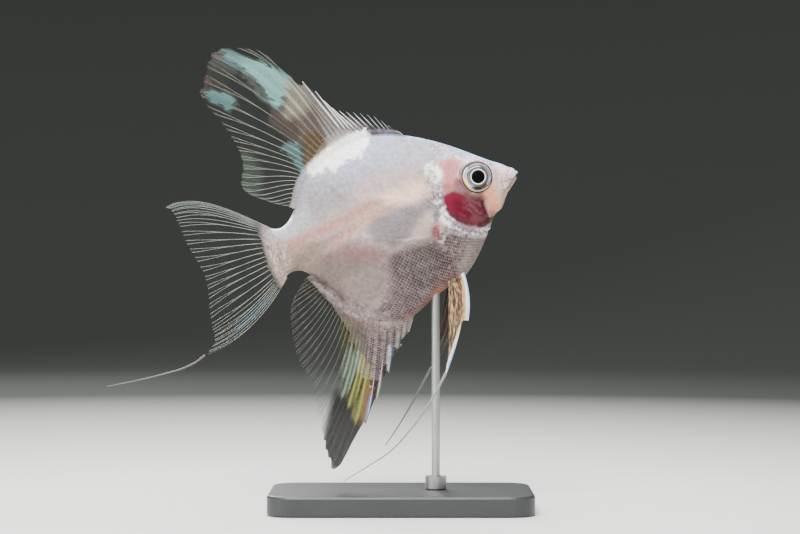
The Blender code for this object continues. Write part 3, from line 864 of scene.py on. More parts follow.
BODY_PAINTING = Painting(Pigment.FLANK_PEARL, (
    # Back, flank and tail stalk
    Patch(Pigment.BACK_SILVER, ((-6, 12), (10, 12), (20, 11), (35, 11), (46, 8.5), (60, 4),
        (60, 30), (-6, 30)), 3.0),
    Patch(Pigment.REAR_GREY, ((-6, 4), (4, 4), (12, 4.2), (19, 6), (20, 11), (15, 15), (4, 15),
        (-6, 10)), 3.5, 0.9),
    Freckles(Pigment.BLUE_HIGHLIGHT_AND_TINT, ((4, 5.5), (16, 6), (22, 9), (20, 13.5), (10, 14), (5, 9)), 0.5,
        0.45, 0.14, 2),
    Patch(Pigment.MID_WARM, ((14, 2.5), (22, 3.8), (30, 6), (38, 7), (38, 2), (28, 1.5), (20, 0)),
        1.8, 0.9),
    Patch(Pigment.FRONT_PEARL, ((26, 4.8), (32, 5.4), (38, 5.6), (41, 8), (40, 2), (35, 1),
        (30, 1.6)), 1.8, 0.9),
    Patch(Pigment.SMOOTH_BEIGE, ((6, -5), (14, -6), (22, -9), (22.5, -13), (20, -18), (14, -19),
        (8, -15)), 1.8),
    Patch(Pigment.LOWER_GREY, ((3, -3), (14, -5), (20, -9), (12, -11), (9, -17), (2, -9)), 1.8,
        0.85),
    Patch(Pigment.LILAC_GREY, ((22, 0), (27, 0.6), (33, 0.6), (37, -1), (33.4, -4), (33, -6.6),
        (27, -7.6), (21.5, -5.6)), 1.2, 0.95),
    Patch(Pigment.STALK_BUFF, ((-6, 3), (4, 1.4), (9, -2), (6, -6), (-6, -12)), 1.6),
    Patch(Pigment.STALK_SILVER, ((-1, 5.9), (2, 6), (8, 9), (9, 5), (4, 2.8), (0, 3)), 0.9, 0.9),
    Stripe(Pigment.WHITE, ((-1.5, 6.3), (0.8, 5.6), (3, 6.1), (5, 7.6)), 0.4, 0.8),
    Patch(Pigment.PEACH, ((2, 0.4), (8, 0.3), (14, 0.6), (20, 2), (26, 3.4), (25, 4.8), (18, 4),
        (10, 2.8), (3, 2.2)), 1.0, 0.72),
    Patch(Pigment.PEACH_BROWN, ((6, -0.4), (12, -0.2), (19, 0.6), (18, -0.5), (12, -2.2),
        (6, -1.8)), 0.9, 0.7),
    Patch(Pigment.LOWER_GREY, ((2, -1.8), (8, -1.6), (15, -2.4), (20, -3.8), (21, -7), (14, -6.4),
        (6, -8), (1, -6)), 1.3, 0.55),
    Patch(Pigment.CREAM, ((9, -3.8), (14, -2.8), (20, -0.7), (27, 1), (30, 2.2), (24, 2),
        (18, 0.2), (12, -2)), 0.7, 0.7),
    Spot(Pigment.BLUSH, (13, -4.8), (5, 1.4), 8, 0.7),
    Patch(Pigment.BLUSH, ((15, -5), (20, -5.6), (23.6, -7.6), (22.6, -10), (18, -8.6), (14.5, -7)),
        1.1, 0.9),
    Patch(Pigment.ARMPIT_CREAM, ((30.5, -6.6), (33, -4), (36, -2.8), (37, -4.6), (36, -7.6),
        (32, -7.9)), 0.9, 0.95),
    Stripe(Pigment.GILL_WHITE, ((36, -7.9), (33, -7.7), (29.5, -7.1), (25, -6)), 0.2, 0.5),
    Spot(Pigment.LOWER_GREY, (26.5, -6.6), (2.2, 1.2), 20, 0.7),
    Patch(Pigment.BELLY_DARK, ((2.5, -7.2), (6.4, -9), (9, -13), (11.4, -16.6), (14, -19),
        (18, -20.6), (19, -24), (13, -27), (3, -27), (0, -11)), 1.2, 0.95, 0.6),
    # Belly and breast
    Patch(Pigment.BELLY_ROSE, ((11, -19.6), (18, -19), (21.5, -16), (22.4, -12), (24.5, -9.5),
        (28, -12), (30, -20), (28, -30), (8, -30), (9, -22)), 2.8, 0.95, 0.3),
    Patch(Pigment.BELLY_OLIVE, ((24.5, -9.3), (29, -8.6), (36, -8.8), (38, -10.5), (38, -14),
        (31, -14.8), (24.5, -13.5)), 2.0),
    Patch(Pigment.BELLY_DARK, ((26, -14), (31, -13.8), (38, -13.4), (38.5, -19), (32, -20.6),
        (28, -19)), 1.5, 0.95),
    # Painted shadow under the pectoral fin
    Patch(Pigment.PECTORAL_SHADOW, ((35, -10), (38.2, -9.6), (38.8, -13), (38, -17.5), (34.6, -19),
        (34.4, -14)), 1.0, 0.9),
    Patch(Pigment.BELLY_RUST, ((28.5, -22.5), (31.5, -19.6), (36, -17.4), (38, -17.6), (37.4, -20),
        (34, -22), (29, -25)), 0.9, 0.9, 0.4),
    Patch(Pigment.BELLY_ORANGE, ((30.6, -21.6), (31.4, -20.8), (33.8, -20.6), (34.4, -21.4),
        (33.6, -22.4), (30.8, -22.8)), 0.35, 0.8, 0.35, 0.7),
    Stripe(Pigment.BELLY_ORANGE, ((22, -24.9), (26, -23.7), (30.6, -22.1)), 0.35, 0.3),
    Patch(Pigment.BREAST_DUN, ((38.4, -9.6), (43, -10.6), (47, -12), (46.4, -16), (41, -20),
        (38.2, -18)), 0.8, 0.95),
    Freckles(Pigment.BREAST_PALE, ((39, -10), (44, -11), (48, -12), (46, -17), (41, -20),
        (38.6, -18)), 0.62, 0.42, 0.75, 0.7),
    Freckles(Pigment.UMBER_SPECK, ((38.2, -10), (44, -11), (47, -13), (43, -16), (39, -17)), 0.5,
        0.34, 0.7, 0.7, 29),
    Freckles(Pigment.BREAST_PALE, ((10, -19), (20, -18.5), (26, -21), (28, -26), (8, -27)), 0.5,
        0.42, 0.22, 1.0, 31),
    Patch(Pigment.BREAST_PALE, ((38.8, -18.4), (40, -16.4), (42.4, -13.6), (44.4, -11.4),
        (49, -10.8), (49.9, -12.6), (44, -19), (40, -21)), 0.8, 0.85, 0.5),
    Stripe(Pigment.REAR_GREY, ((2, -8.6), (6, -12.2), (9, -16.2), (12, -20), (15.5, -22.8),
        (19, -24.6)), 0.4, 0.75),
    Freckles(Pigment.BREAST_PALE, ((0.5, -7), (6, -10.6), (9.8, -15), (13, -18.6), (19, -23),
        (18.6, -25.4), (12, -21.6), (8, -17.4), (4.6, -12.6), (0.5, -9)), 0.4, 0.46, 0.7, 0.4,
        149),
    # Shoulder
    Patch(Pigment.GILL_GREY, ((38, 4.4), (40.2, 4), (41.4, 3), (41.2, 0.6), (40.6, -1), (40.4, -3),
        (38.6, -3), (37.4, -0.6), (38.4, 1.6)), 0.6, 0.9),
    Freckles(Pigment.GILL_WHITE, ((38, 4.6), (41, 4), (41.3, 0.4), (40.3, -1.6), (37.8, -1),
        (38.2, 1.6)), 0.36, 0.46, 0.5, 0.5, 43),
    Spot(Pigment.GILL_GREY, (36.8, -0.6), (1.8, 2.4), 10, 0.5),
    Freckles(Pigment.UMBER_SPECK, ((36.6, 1.8), (40.4, 1.2), (40.8, -1.4), (39.4, -3.2),
        (36.8, -2.6)), 0.5, 0.42, 0.45, 0.9, 139),
    Patch(Pigment.WHITE, ((38.9, 5), (38.8, 7.8), (39.8, 9), (41.6, 8.2), (42.8, 6.6), (42.4, 5.2),
        (41, 4), (39.6, 3.6)), 0.4, 0.95, 0.8, 0.45),
    Freckles(Pigment.GILL_GREY, ((38.2, 4), (38.8, 7), (39.8, 7.4), (40.8, 6), (41.6, 3.4)), 0.36,
        0.36, 0.7, 0.5, 47),
    Stripe(Pigment.GILL_WHITE, ((38.1, -0.2), (38.5, -0.9), (39.4, -1), (40.1, -0.4)), 0.28, 0.8),
    Patch(Pigment.SLATE, ((38.2, -2.6), (38.9, -3.2), (38.4, -5), (37.4, -6), (36.6, -5.4),
        (37, -3.8)), 0.45, 0.9, 0.3, 0.5),
    Patch(Pigment.GILL_WHITE, ((38.2, -5.4), (38.9, -4.1), (40.2, -5), (41, -6.8), (40, -7.4),
        (38.9, -6.2)), 0.3, 1, 0.25, 0.5),
    Patch(Pigment.GILL_WHITE, ((38.9, -3.2), (39.9, -2.2), (40.5, -3.2), (41.2, -5.2), (42.6, -7),
        (41.6, -7), (40.2, -5.2)), 0.25, 0.9, 0.5, 0.5),
    Patch(Pigment.GILL_LILAC, ((40.8, -6.6), (42, -6.4), (44.2, -8.6), (47, -9.9), (49, -10.3),
        (48.8, -11.4), (45, -11), (42, -9.2), (40.4, -7.6)), 0.4, 0.95),
    Freckles(Pigment.GILL_WHITE, ((39.4, -6.6), (41.4, -7), (44, -9.6), (49.4, -10.6),
        (48.6, -12.8), (44.4, -11.6), (40.2, -9)), 0.36, 0.5, 0.8, 0.5, 53),
    Patch(Pigment.GILL_WHITE, ((44.6, -10.9), (47, -10.8), (49.4, -10.6), (48.9, -12),
        (46.4, -12.2)), 0.4, 0.8, 0.5),
    Freckles(Pigment.GILL_GREY, ((39, -3), (40.6, -3.4), (42, -6.6), (45, -9), (49.4, -10.4),
        (48.4, -12.4), (44, -11), (40.6, -8)), 0.4, 0.42, 0.7, 0.3, 101),
    Freckles(Pigment.UMBER_SPECK, ((37.8, -7), (39.6, -7), (41.8, -9.6), (40, -10.8),
        (37.6, -10.4)), 0.5, 0.66, 0.8, 0.5, 59),
    # Pectoral root, a fleshy hook with a pale rim
    Stripe(Pigment.PINK_WASH, ((39.2, -6.8), (38, -5.9), (36.8, -6.6), (36, -8.2), (36.2, -9.8),
        (37.4, -10.2)), 0.42, 0.95),
    Stripe(Pigment.FLESH_PINK, ((38.6, -6.3), (37.6, -6.2), (37, -7.2), (36.9, -9)), 0.42, 0.95),
    Stripe(Pigment.GILL_WHITE, ((36, -8.4), (36.2, -9.6), (37, -10.2), (37.8, -9.8), (37.7, -8.6)),
        0.26, 0.75),
    # Nape and forehead
    Patch(Pigment.NAPE_PEARL, ((36, 12), (42, 10), (46, 8.6), (52, 5), (56, 4), (52, 12), (40, 22),
        (34, 20)), 1.4, 0.9),
    Freckles(Pigment.MINT_FLECK, ((44, 12), (45, 8.5), (48, 6.4), (52, 6), (49, 10.5)), 0.6, 0.42,
        0.9, 0.6, 61),
    Freckles(Pigment.PINK_FLECK, ((42.5, 12), (44, 8), (48, 6.4), (54, 4.4), (50, 9), (45, 13)),
        0.5, 0.42, 0.85, 0.6, 67),
    Freckles(Pigment.GILL_GREY, ((42, 13), (44, 9), (50, 6.2), (54, 4.6), (49, 9.4)), 0.45, 0.36,
        0.7, 0.6, 103),
    Freckles(Pigment.WHITE, ((42, 13), (43, 9), (49, 6.2), (54, 4.4), (50, 9)), 0.36, 0.36, 0.45,
        0.6, 107),
    Freckles(Pigment.LILAC_FLECK, ((43, 13), (43.6, 9), (48, 6.6), (51, 7), (46, 12.4)), 0.5, 0.4,
        0.85, 0.6, 71),
    # Gill cover
    Patch(Pigment.PINK_WASH, ((42.4, 7.6), (42.8, 4.6), (41.8, 2.2), (44, 1.2), (46, 2), (46.6, 5),
        (47.8, 6.6), (45.4, 8.4)), 0.8, 0.9),
    Spot(Pigment.ROSE, (44.6, 7), (1.9, 1.2), 10, 0.8),
    Freckles(Pigment.ROSE, ((42.6, 7.4), (42.4, 3), (44, 1.6), (46, 2.2), (46.8, 7)), 0.6, 0.4,
        0.5, 0.6, 113),
    Patch(Pigment.SALMON, ((41.3, 2.4), (43, 2.8), (44.4, 1.6), (43.8, 0), (41.8, 0.2)), 0.5,
        0.85),
    Patch(Pigment.MAUVE_PINK, ((44.6, 2.8), (46.2, 2.6), (46.9, 0.4), (47.8, -1.4), (45.4, -1.4),
        (44, 0)), 0.6, 0.85),
    Stripe(Pigment.SNOUT, ((46.3, 5), (45.8, 3.6), (46, 2.6)), 0.3, 0.4),
    Patch(Pigment.ROSE_BROWN, ((46, -0.6), (48, -1.6), (50.6, -2), (51, -4.4), (49.6, -4),
        (47, -3.4), (45, -2)), 0.6, 0.95),
    Patch(Pigment.MAROON, ((41, 0.3), (42.6, 0.6), (44.4, 0), (45.6, -1.2), (47.4, -2.8),
        (49.4, -3.4), (50.1, -5.2), (49.9, -8), (49.2, -9.3), (47.2, -9.7), (45.4, -9.1),
        (43.8, -8.2), (42.4, -6.9), (41.2, -5.4), (40.6, -3.4), (40.5, -1.2)), 0.5, 1, 0.35),
    Patch(Pigment.CRIMSON, ((41.2, 0.1), (42.8, 0.2), (44.2, -0.4), (45.1, -2), (45.2, -4.4),
        (44.6, -6), (43.2, -5.8), (41.8, -4.2), (41, -2), (40.9, -0.8)), 1.1, 1, 0.3),
    Patch(Pigment.CRIMSON_DEEP, ((42.8, -2), (44.4, -2), (45.4, -4), (46.4, -6), (45, -6.8),
        (43, -5), (42.4, -3.4)), 1.0, 0.9, 0.5),
    Stripe(Pigment.PLUM, ((40.7, -2.6), (41, -4.4), (42, -6.2), (43.4, -7.6), (45, -8.7)), 0.36,
        0.85),
    Spot(Pigment.WINE, (42.5, -5.4), (0.7, 0.45), -35, 0.55),
    Stripe(Pigment.STRAND_PINK, ((43.2, -4.9), (43.8, -5.6), (44.6, -6.4)), 0.13, 0.4),
    Patch(Pigment.MAUVE, ((45.4, -6.9), (48, -6.9), (49.4, -7.8), (48.4, -8.9), (46, -8.7)), 0.5,
        0.85),
    Stripe(Pigment.STRAND_PINK, ((46, -2.6), (47.2, -3.4), (48.4, -4.4), (49, -5.4)), 0.3, 0.3),
    Freckles(Pigment.STRAND_PINK, ((45.4, -2), (48.6, -3.4), (49.2, -6), (47.4, -8), (44.6, -5.4)),
        0.5, 0.4, 0.3, 0.8, 97),
    Stripe(Pigment.STRAND_PINK, ((45.6, -3.4), (46.6, -4.2), (47.4, -5.2), (47.9, -6.4)), 0.24,
        0.45),
    Stripe(Pigment.STRAND_PINK, ((45.4, -4.6), (46, -5.4), (46.3, -6.6)), 0.2, 0.35),
    Spot(Pigment.STRAND_PINK, (48.2, -6.7), (0.35, 0.3), 0, 0.6),
    Stripe(Pigment.WINE, ((49.9, -3.6), (49.2, -4.8), (49.3, -6), (49.6, -7.4)), 0.28, 0.9),
    Spot(Pigment.WINE, (48.5, -7.2), (0.55, 0.4), -20, 0.7),
    Stripe(Pigment.BROWN_LINE, ((46.2, -9.1), (47, -9.5), (48.2, -9.8), (49.3, -9.2),
        (50.2, -8.6)), 0.3, 0.95),
    # Cheek, snout and jaws
    Patch(Pigment.CHEEK_PEACH, ((50.6, -2.6), (52.4, -0.6), (53.8, -0.6), (53.6, -3), (54, -6),
        (51.4, -8), (50.3, -6.4), (50.6, -4.4)), 1.1, 0.95),
    Patch(Pigment.RUST, ((50, -6.8), (51.2, -7), (52, -7.8), (50.6, -9.2), (49.4, -9.2), (50, -8)),
        0.5, 0.5),
    Patch(Pigment.BROWN_LINE, ((46.4, -8.8), (48, -9.2), (49.6, -8.6), (50.9, -8), (51, -8.8),
        (49.5, -9.8), (47.4, -10)), 0.3, 0.8, 0.5),
    Spot(Pigment.CHEEK_CREAM, (53.3, -5.5), (0.9, 0.5), 20, 0.8),
    Patch(Pigment.SNOUT, ((53.8, 3.6), (56, 3.4), (58.4, 1.4), (59.6, 0), (57.6, -2.8), (55, -4.8),
        (53.6, -4), (53.6, -1), (54.2, 1.6)), 1.6, 0.95, 0.4),
    Patch(Pigment.SNOUT_GREY, ((53.8, -2.6), (55.4, -2), (57, -1.4), (59, -1.4), (56.6, -4.4),
        (54.4, -6.6), (53.8, -5)), 1.2, 0.7, 0.4),
    Freckles(Pigment.LILAC_FLECK, ((54, 3.4), (57, 3), (59, 0.4), (57.4, -1.6), (54.6, -0.4)),
        0.42, 0.4, 0.9, 0.5, 73),
    Freckles(Pigment.WHITE, ((54, 3), (57.6, 2), (58.6, -1), (55.4, -3.4), (54, 0)), 0.34, 0.36,
        0.35, 0.5, 109),
    Freckles(Pigment.PINK_FLECK, ((54.2, 2), (58, 1.4), (58.6, -1), (55, -3)), 0.46, 0.4, 0.6, 0.5,
        79),
    Freckles(Pigment.ROSE_BROWN, ((54.4, -1.4), (57.4, -0.6), (58.6, -1.6), (55.4, -4.6)), 0.4,
        0.36, 0.6, 0.5, 83),
    # Painted rim highlight along the top edge of the forehead and snout
    Stripe(Pigment.BLUE_HIGHLIGHT_AND_TINT, ((46, 11.6), (50, 8.5), (54, 5.2), (57.4, 2.7), (58.4, 1.7)), 0.5,
        1),
    # The painted rim highlight carried on round the snout's tip
    Stripe(Pigment.SNOUT_TIP_HIGHLIGHT_BLUE, ((58, 1.8), (59.3, 0.9), (60, 0), (59.4, -1)), 0.4, 0.85),
    Spot(Pigment.GILL_WHITE, (55.8, -2.6), (0.5, 0.35), 20, 0.55),
    Spot(Pigment.BROWN_LINE, (54.5, 3.75), (0.3, 0.22), -35, 0.55),
    # The pure white blaze under the dorsal fin
    Patch(Pigment.WHITE, ((11.8, 16), (14, 15.1), (16, 15.7), (18, 14.7), (20, 15.4), (22, 15.9),
        (25.5, 15.9), (26.6, 17), (28, 18.2), (28.9, 20), (28.6, 23), (12, 23)), 0.3, 1, 0.7,
        0.55),
    # Painted rim highlight along the back's edge in front of the dorsal fin
    Stripe(Pigment.BLUE_HIGHLIGHT_AND_TINT, ((30, 19.7), (35, 18), (40, 15.6), (45, 12.4)), 0.5, 0.7),
    Freckles(Pigment.UMBER_SPECK, ((-5, 5), (-1.5, 5.6), (0.8, 0), (-1.5, -6), (-5, -7)), 0.36,
        0.42, 0.45, 1.2, 131),
    Freckles(Pigment.WHITE, ((-5, 5), (-1.2, 5.6), (1.4, 0), (-1.2, -6), (-5, -7)), 0.36, 0.36,
        0.25, 1.2, 137),
    Stripe(Pigment.SMOKE, ((27.8, 21), (31, 20.1), (34, 19.1), (38.4, 17)), 0.75, 0.85),
    Freckles(Pigment.UMBER_SPECK, ((28.6, 23), (29.2, 20), (34, 18.2), (39, 16), (42, 14.4),
        (42, 18), (34, 24)), 0.5, 0.62, 0.85, 0.4, 127),
))

DORSAL_PAINTING = Painting(Pigment.CLEAR_GREY, (
    Patch(Pigment.CLEAR_PALE, ((-5, 17), (-2, 15), (1, 19), (0, 25), (-3, 26)), 1.2, opacity=0.22),
    Patch(Pigment.RUSSET, ((-8, 43), (-5, 48), (1, 52), (3, 47), (-1, 42), (-5, 42)), 1, 0.6,
        opacity=0.16),
    Patch(Pigment.SMOKE, ((24, 17), (40, 14), (38, 21), (33, 21.4), (28.4, 22.6), (26, 22)), 0.7,
        opacity=0.85),
    Patch(Pigment.SMOKE, ((24, 23), (29, 22.5), (34, 20), (34, 25), (26, 28)), 0.6, opacity=0.35),
    Patch(Pigment.STONE, ((17, 18), (28.6, 18), (28.4, 22.4), (25, 26), (21.5, 29), (19, 27),
        (17.4, 23)), 0.9, 1, 0.4, opacity=0.885),
    Patch(Pigment.BLUSH_CREAM, ((17, 25), (22.6, 26), (19, 34), (17.6, 38.4), (15.8, 38),
        (16.4, 32)), 0.8, opacity=0.885),
    Patch(Pigment.LOWER_GREY, ((12, 23), (17.6, 23.6), (18.6, 28), (17, 33), (11.4, 33),
        (9.6, 29)), 1.6, opacity=0.86),
    Patch(Pigment.RUSSET, ((6.8, 31), (8.6, 27.6), (11, 25), (13, 26), (12, 31.4), (9, 33.4)), 0.8,
        opacity=0.8),
    Patch(Pigment.HONEY, ((10.6, 16), (17.6, 17), (18.4, 20), (17.8, 24), (14, 25.4), (12, 21)),
        0.7, opacity=0.85),
    Patch(Pigment.DORSAL_CREAM, ((10.6, 31), (13, 30), (16.6, 30.6), (17.4, 34), (15.8, 38.6),
        (13.6, 40), (12, 36)), 1.2, opacity=0.885),
    Patch(Pigment.SPECKLE_TAN, ((6.6, 42), (4.2, 44.4), (5, 41), (6.4, 37.6), (8.6, 33.6),
        (10.4, 32.6), (9.6, 36)), 0.5, 0.9, 0.8, 0.5, opacity=0.7),
    Patch(Pigment.ICE_BLUE, ((15.2, 40.4), (13, 42.8), (11.6, 43.2), (9.8, 46), (8, 46.8),
        (5, 49.4), (1.8, 52.4), (0.8, 50.6), (2.6, 48), (4.8, 45), (6.6, 41.6), (8, 37.6),
        (9, 34.4), (11, 33.8), (12.4, 36), (14, 38)), 0.3, 1, 0.7, 0.6, opacity=0.97),
    Patch(Pigment.ICE_DIM, ((0, 53), (5.6, 50.4), (4.6, 46.4), (2, 46), (-1, 50)), 2.2, 0.9,
        opacity=0.97),
    Patch(Pigment.ICE_DIM, ((-6.4, 43), (-4.4, 43.6), (-2.4, 42.2), (0, 40.6), (0.5, 38.8),
        (-0.4, 37.2), (-2, 36.8), (-3.4, 39), (-4.6, 39), (-5.4, 41)), 0.25, 1, 0.6, 0.5,
        opacity=0.97),
    Patch(Pigment.TEAL, ((7.6, 24), (10.6, 24.4), (12, 22), (11.2, 19.6), (11, 16.6), (9.6, 17.4),
        (9.2, 20.6)), 0.5, 0.95, 0.6, 0.6, opacity=0.85),
    Patch(Pigment.WHITE, ((11.4, 15), (28.9, 15), (28.7, 20.8), (27.6, 21.8), (25, 21.9), (23, 21),
        (20, 20.4), (17.6, 20), (15.6, 18.8), (13.4, 17.4)), 0.3, 1, 0.8, 0.55, opacity=1),
    Stripe(Pigment.TIP_RED, ((-7.4, 43.4), (-5, 45), (-3.8, 46.8)), 0.5, 0.8, opacity=0.5),
    Stripe(Pigment.TIP_RED, ((-2, 50), (0.4, 50.6), (2.2, 51.6)), 0.5, 0.8, opacity=0.6),
), 0.035)

ANAL_PAINTING = Painting(Pigment.CLEAR_GREY, (
    Patch(Pigment.FIN_DUSK, ((5, -44), (3, -52), (-4, -56), (-7, -50), (-3, -42), (2, -36)), 1.2,
        0.98, opacity=0.86),
    Patch(Pigment.FIN_OLIVE, ((9, -18), (13, -20), (13, -30), (9, -34), (3, -33), (6, -27)), 1.0,
        0.9, opacity=0.7),
    Patch(Pigment.FIN_OLIVE, ((2.4, -6.5), (6, -9), (9, -12.6), (12, -18.5), (11, -22), (8, -20),
        (5, -15), (2, -11)), 1.0, 0.85, 0.5, opacity=0.55),
    Patch(Pigment.FIN_ROSE_GREY, ((9.6, -19), (27, -22), (24.5, -27), (18, -34), (13, -42),
        (8.4, -43), (9, -37), (12, -31), (11.6, -25)), 0.8, 1, 0.5, opacity=0.86),
    Patch(Pigment.FIN_BROWN, ((10.4, -29), (7, -29), (2.6, -38), (2.6, -45.4), (5, -46.6),
        (8.6, -42), (10, -36)), 0.5, 0.95, opacity=0.85),
    Patch(Pigment.FIN_GREEN_GOLD, ((6.4, -21), (9.6, -21), (10.8, -28), (9, -31), (6, -27)), 1.2,
        0.25),
    Patch(Pigment.FIN_SAGE, ((8.4, -26.6), (6, -28.6), (3.2, -33), (4.2, -34), (7.8, -30)), 0.35,
        0.9, opacity=0.9),
    Patch(Pigment.FIN_SAGE, ((9, -28.6), (5.6, -32.6), (1.6, -37.2), (3, -38.2), (6.6, -34.4),
        (9.4, -31)), 0.35, 0.95, opacity=0.9),
    Patch(Pigment.FIN_GREEN_GOLD, ((9.6, -30), (6.6, -34.6), (2.8, -39.8), (3.6, -41),
        (7.4, -36.8), (10.4, -32)), 0.35, 0.95, opacity=0.9),
    Patch(Pigment.FIN_GREEN_GOLD, ((10.6, -32.4), (7.2, -37.6), (2.8, -43.4), (3.8, -45),
        (7.2, -40.8), (10.6, -35)), 0.35, 0.95, opacity=0.9),
    Patch(Pigment.FIN_GOLD, ((10, -35.6), (7.6, -39), (4.4, -44.6), (5, -46.4), (7.6, -42.6),
        (9.4, -38.6)), 0.35, 0.95, opacity=0.9),
    Stripe(Pigment.FRINGE_BLUE, ((8.8, -40), (7, -43.4), (5.2, -46.2)), 0.3, 0.7, opacity=0.9),
    Spot(Pigment.FIN_VIOLET, (8.3, -40.4), (0.8, 0.8), 0, 0.8),
    Stripe(Pigment.TOOTH_NAVY, ((18.2, -29.6), (16.8, -32.6), (15.2, -36)), 0.5, 0.95,
        opacity=0.95),
    Stripe(Pigment.SPINE_WHITE, ((17.2, -29.6), (15.8, -32.6), (14.4, -36.2)), 0.22, 0.9,
        opacity=0.9),
    Stripe(Pigment.BREAST_PALE, ((13, -36), (11, -39.4), (9, -43)), 0.4, 0.9, opacity=0.93),
    Stripe(Pigment.FIN_SAGE, ((20.4, -27.4), (19.4, -29.4), (18.2, -31.8)), 0.35, 1, opacity=0.95),
    Stripe(Pigment.FIN_SAGE, ((22.6, -26), (21.6, -27.6), (20.4, -29.4)), 0.35, 1, opacity=0.95),
    Stripe(Pigment.FIN_SAGE, ((25, -25), (24, -26.4), (22.8, -28)), 0.3, 0.9, opacity=0.95),
), 0.04)

TAIL_PAINTING = Painting(Pigment.CLEAR_GREY, (
    Patch(Pigment.TAUPE, ((1, 10), (-3.6, 9.4), (-4.6, 0), (-3.6, -9.4), (1, -9)), 2.0, 0.95, 0.5,
        opacity=0.8),
    Stripe(Pigment.BLUE_HIGHLIGHT_AND_TINT, ((-3, 7.4), (-10, 12.6), (-17, 17), (-23.8, 19.3)), 0.8, 0.3,
        opacity=0.1),
    Stripe(Pigment.BLUE_HIGHLIGHT_AND_TINT, ((-6, -8.8), (-11, -11.4), (-19, -15.2)), 1.2, 0.4, opacity=0.1),
), 0.035)

PELVIC_PAINTING = Painting(Pigment.PELVIC_BROWN, (
    Patch(Pigment.PELVIC_CREAM, ((32.6, -17), (38.4, -17), (37.4, -23), (35.4, -28.4), (31, -35),
        (29, -38), (31, -32)), 0.8, 0.95, opacity=0.95),
    Stripe(Pigment.PELVIC_GOLD, ((34.6, -22), (33.2, -26), (32, -29.6), (31, -32.6), (29.4, -36),
        (28.2, -38.6)), 0.4, 0.9, opacity=0.95),
    Stripe(Pigment.PELVIC_GOLD, ((36, -27), (35.2, -29.6), (32.8, -33), (30.4, -35.6)), 0.45, 0.9,
        opacity=0.95),
    Patch(Pigment.CHEEK_CREAM, ((37.7, -17), (41, -17), (40.4, -23), (38.6, -30.9), (34.8, -30.9),
        (36.4, -27.6), (37.6, -22)), 0.4, 0.8, opacity=0.95),
    Freckles(Pigment.CHEEK_CREAM, ((33, -19), (38.8, -18), (37.8, -25), (36, -31), (28.6, -38.6),
        (30.8, -33)), 0.3, 0.3, 0.5, 0.6, 91, 0.95),
    Freckles(Pigment.PELVIC_BROWN, ((32.8, -20), (38.8, -19), (37.6, -25), (36, -30), (28.4, -39),
        (30.6, -33)), 0.3, 0.6, 1, 0.6, 89, 0.95),
    Stripe(Pigment.PELVIC_RED, ((38.1, -19.6), (37.7, -22), (37.2, -24.6), (36.6, -27.6)), 0.2,
        0.9),
    Patch(Pigment.SPINE_IVORY, ((39.3, -17), (41, -17), (40.4, -23), (38.6, -30.9), (36.8, -30.9),
        (38, -26.4), (39, -22)), 0.25, 1, opacity=1),
    Patch(Pigment.SPINE_IVORY, ((34.6, -31), (35.6, -31.4), (32.4, -36), (27, -41.6), (26.6, -41),
        (31, -35.6)), 0.2, 0.95, opacity=1),
    Stripe(Pigment.FRINGE_BLUE, ((39.9, -16), (39.85, -20.5), (39.6, -23.1), (39.1, -25.6),
        (38.3, -28), (36.9, -30.8)), 0.3, 1, opacity=1),
    Stripe(Pigment.FRINGE_BLUE, ((35.1, -31.4), (32.5, -35), (28, -40.4)), 0.3, 1),
), 0.9)

FAR_PELVIC_PAINTING = Painting(Pigment.FAR_BROWN, (
    Patch(Pigment.RAY_DUN, ((30, -32), (31, -36), (25, -40), (23, -38.6)), 1.2, 0.9,
          opacity=0.85),
), 0.6)

PECTORAL_PAINTING = Painting(Pigment.CLEAR_GREY, (
    Spot(Pigment.PINK_WASH, (36.6, -8.4), (1.1, 2.2), 10, 0.9, opacity=0.8),
), 0.025)


# Body form --------------------------------------------------------------------------
@dataclass(frozen=True)
class Crease:
    """A groove, or a ridge where the height is positive, along a path on each side."""

    path: Rows
    height: float
    width: float
    beside: float = 0.0             # moved this far to the left of the path

    def margin(self) -> float:
        """How far from its path it can reach."""
        return PATH_BULGE + abs(self.beside) + 2.5 * self.width

    def rise(self, flat: Array) -> Array:
        """Height at flat points: a bell across the path, faded at both ends.

        Args:
            flat: points as (n, 2).

        Returns:
            One height for each point, millimetres.
        """
        distance, along = path_distance(flat, smooth_path(self.path, 20))
        return self.height * bell(distance - self.beside, self.width) * fade(along, 0.1, 0.9)


@dataclass(frozen=True)
class PlateEdge:
    """The free edge of a thin plate: raised on the path's left, with a slit behind."""

    path: Rows
    height: float
    reach: float                    # how far in front of the edge the plate settles
    slit: float                     # depth of the slit behind the edge
    slit_width: float

    def margin(self) -> float:
        """How far from its edge it can reach."""
        return PATH_BULGE + self.reach

    def rise(self, flat: Array) -> Array:
        """Height at flat points: a step at the edge, a slow fall ahead, a slit behind.

        Args:
            flat: points as (n, 2).

        Returns:
            One height for each point, millimetres.
        """
        distance, along = path_distance(flat, smooth_path(self.path, 36))
        plate = soft_step(-0.08, 0.14, distance) * (1 - soft_step(0, self.reach, distance))
        groove = bell(distance + 0.22, self.slit_width)
        return (self.height * plate - self.slit * groove) * fade(along, 0.12, 0.93)


@dataclass(frozen=True)
class Dome:
    """An oval swelling, or a pit where the height is negative."""

    centre: Row
    radii: Row
    height: float
    tilt: float = 0.0               # degrees from +x towards +z

    @property
    def path(self) -> Rows:
        """Its middle, as the only point."""
        return (self.centre,)

    def margin(self) -> float:
        """How far from its middle it can reach."""
        return 2 * max(self.radii)

    def rise(self, flat: Array) -> Array:
        """Height at flat points: a flat-topped bell of the oval distance."""
        return self.height * oval_bell(flat, self.centre, self.radii, self.tilt, 1.4)


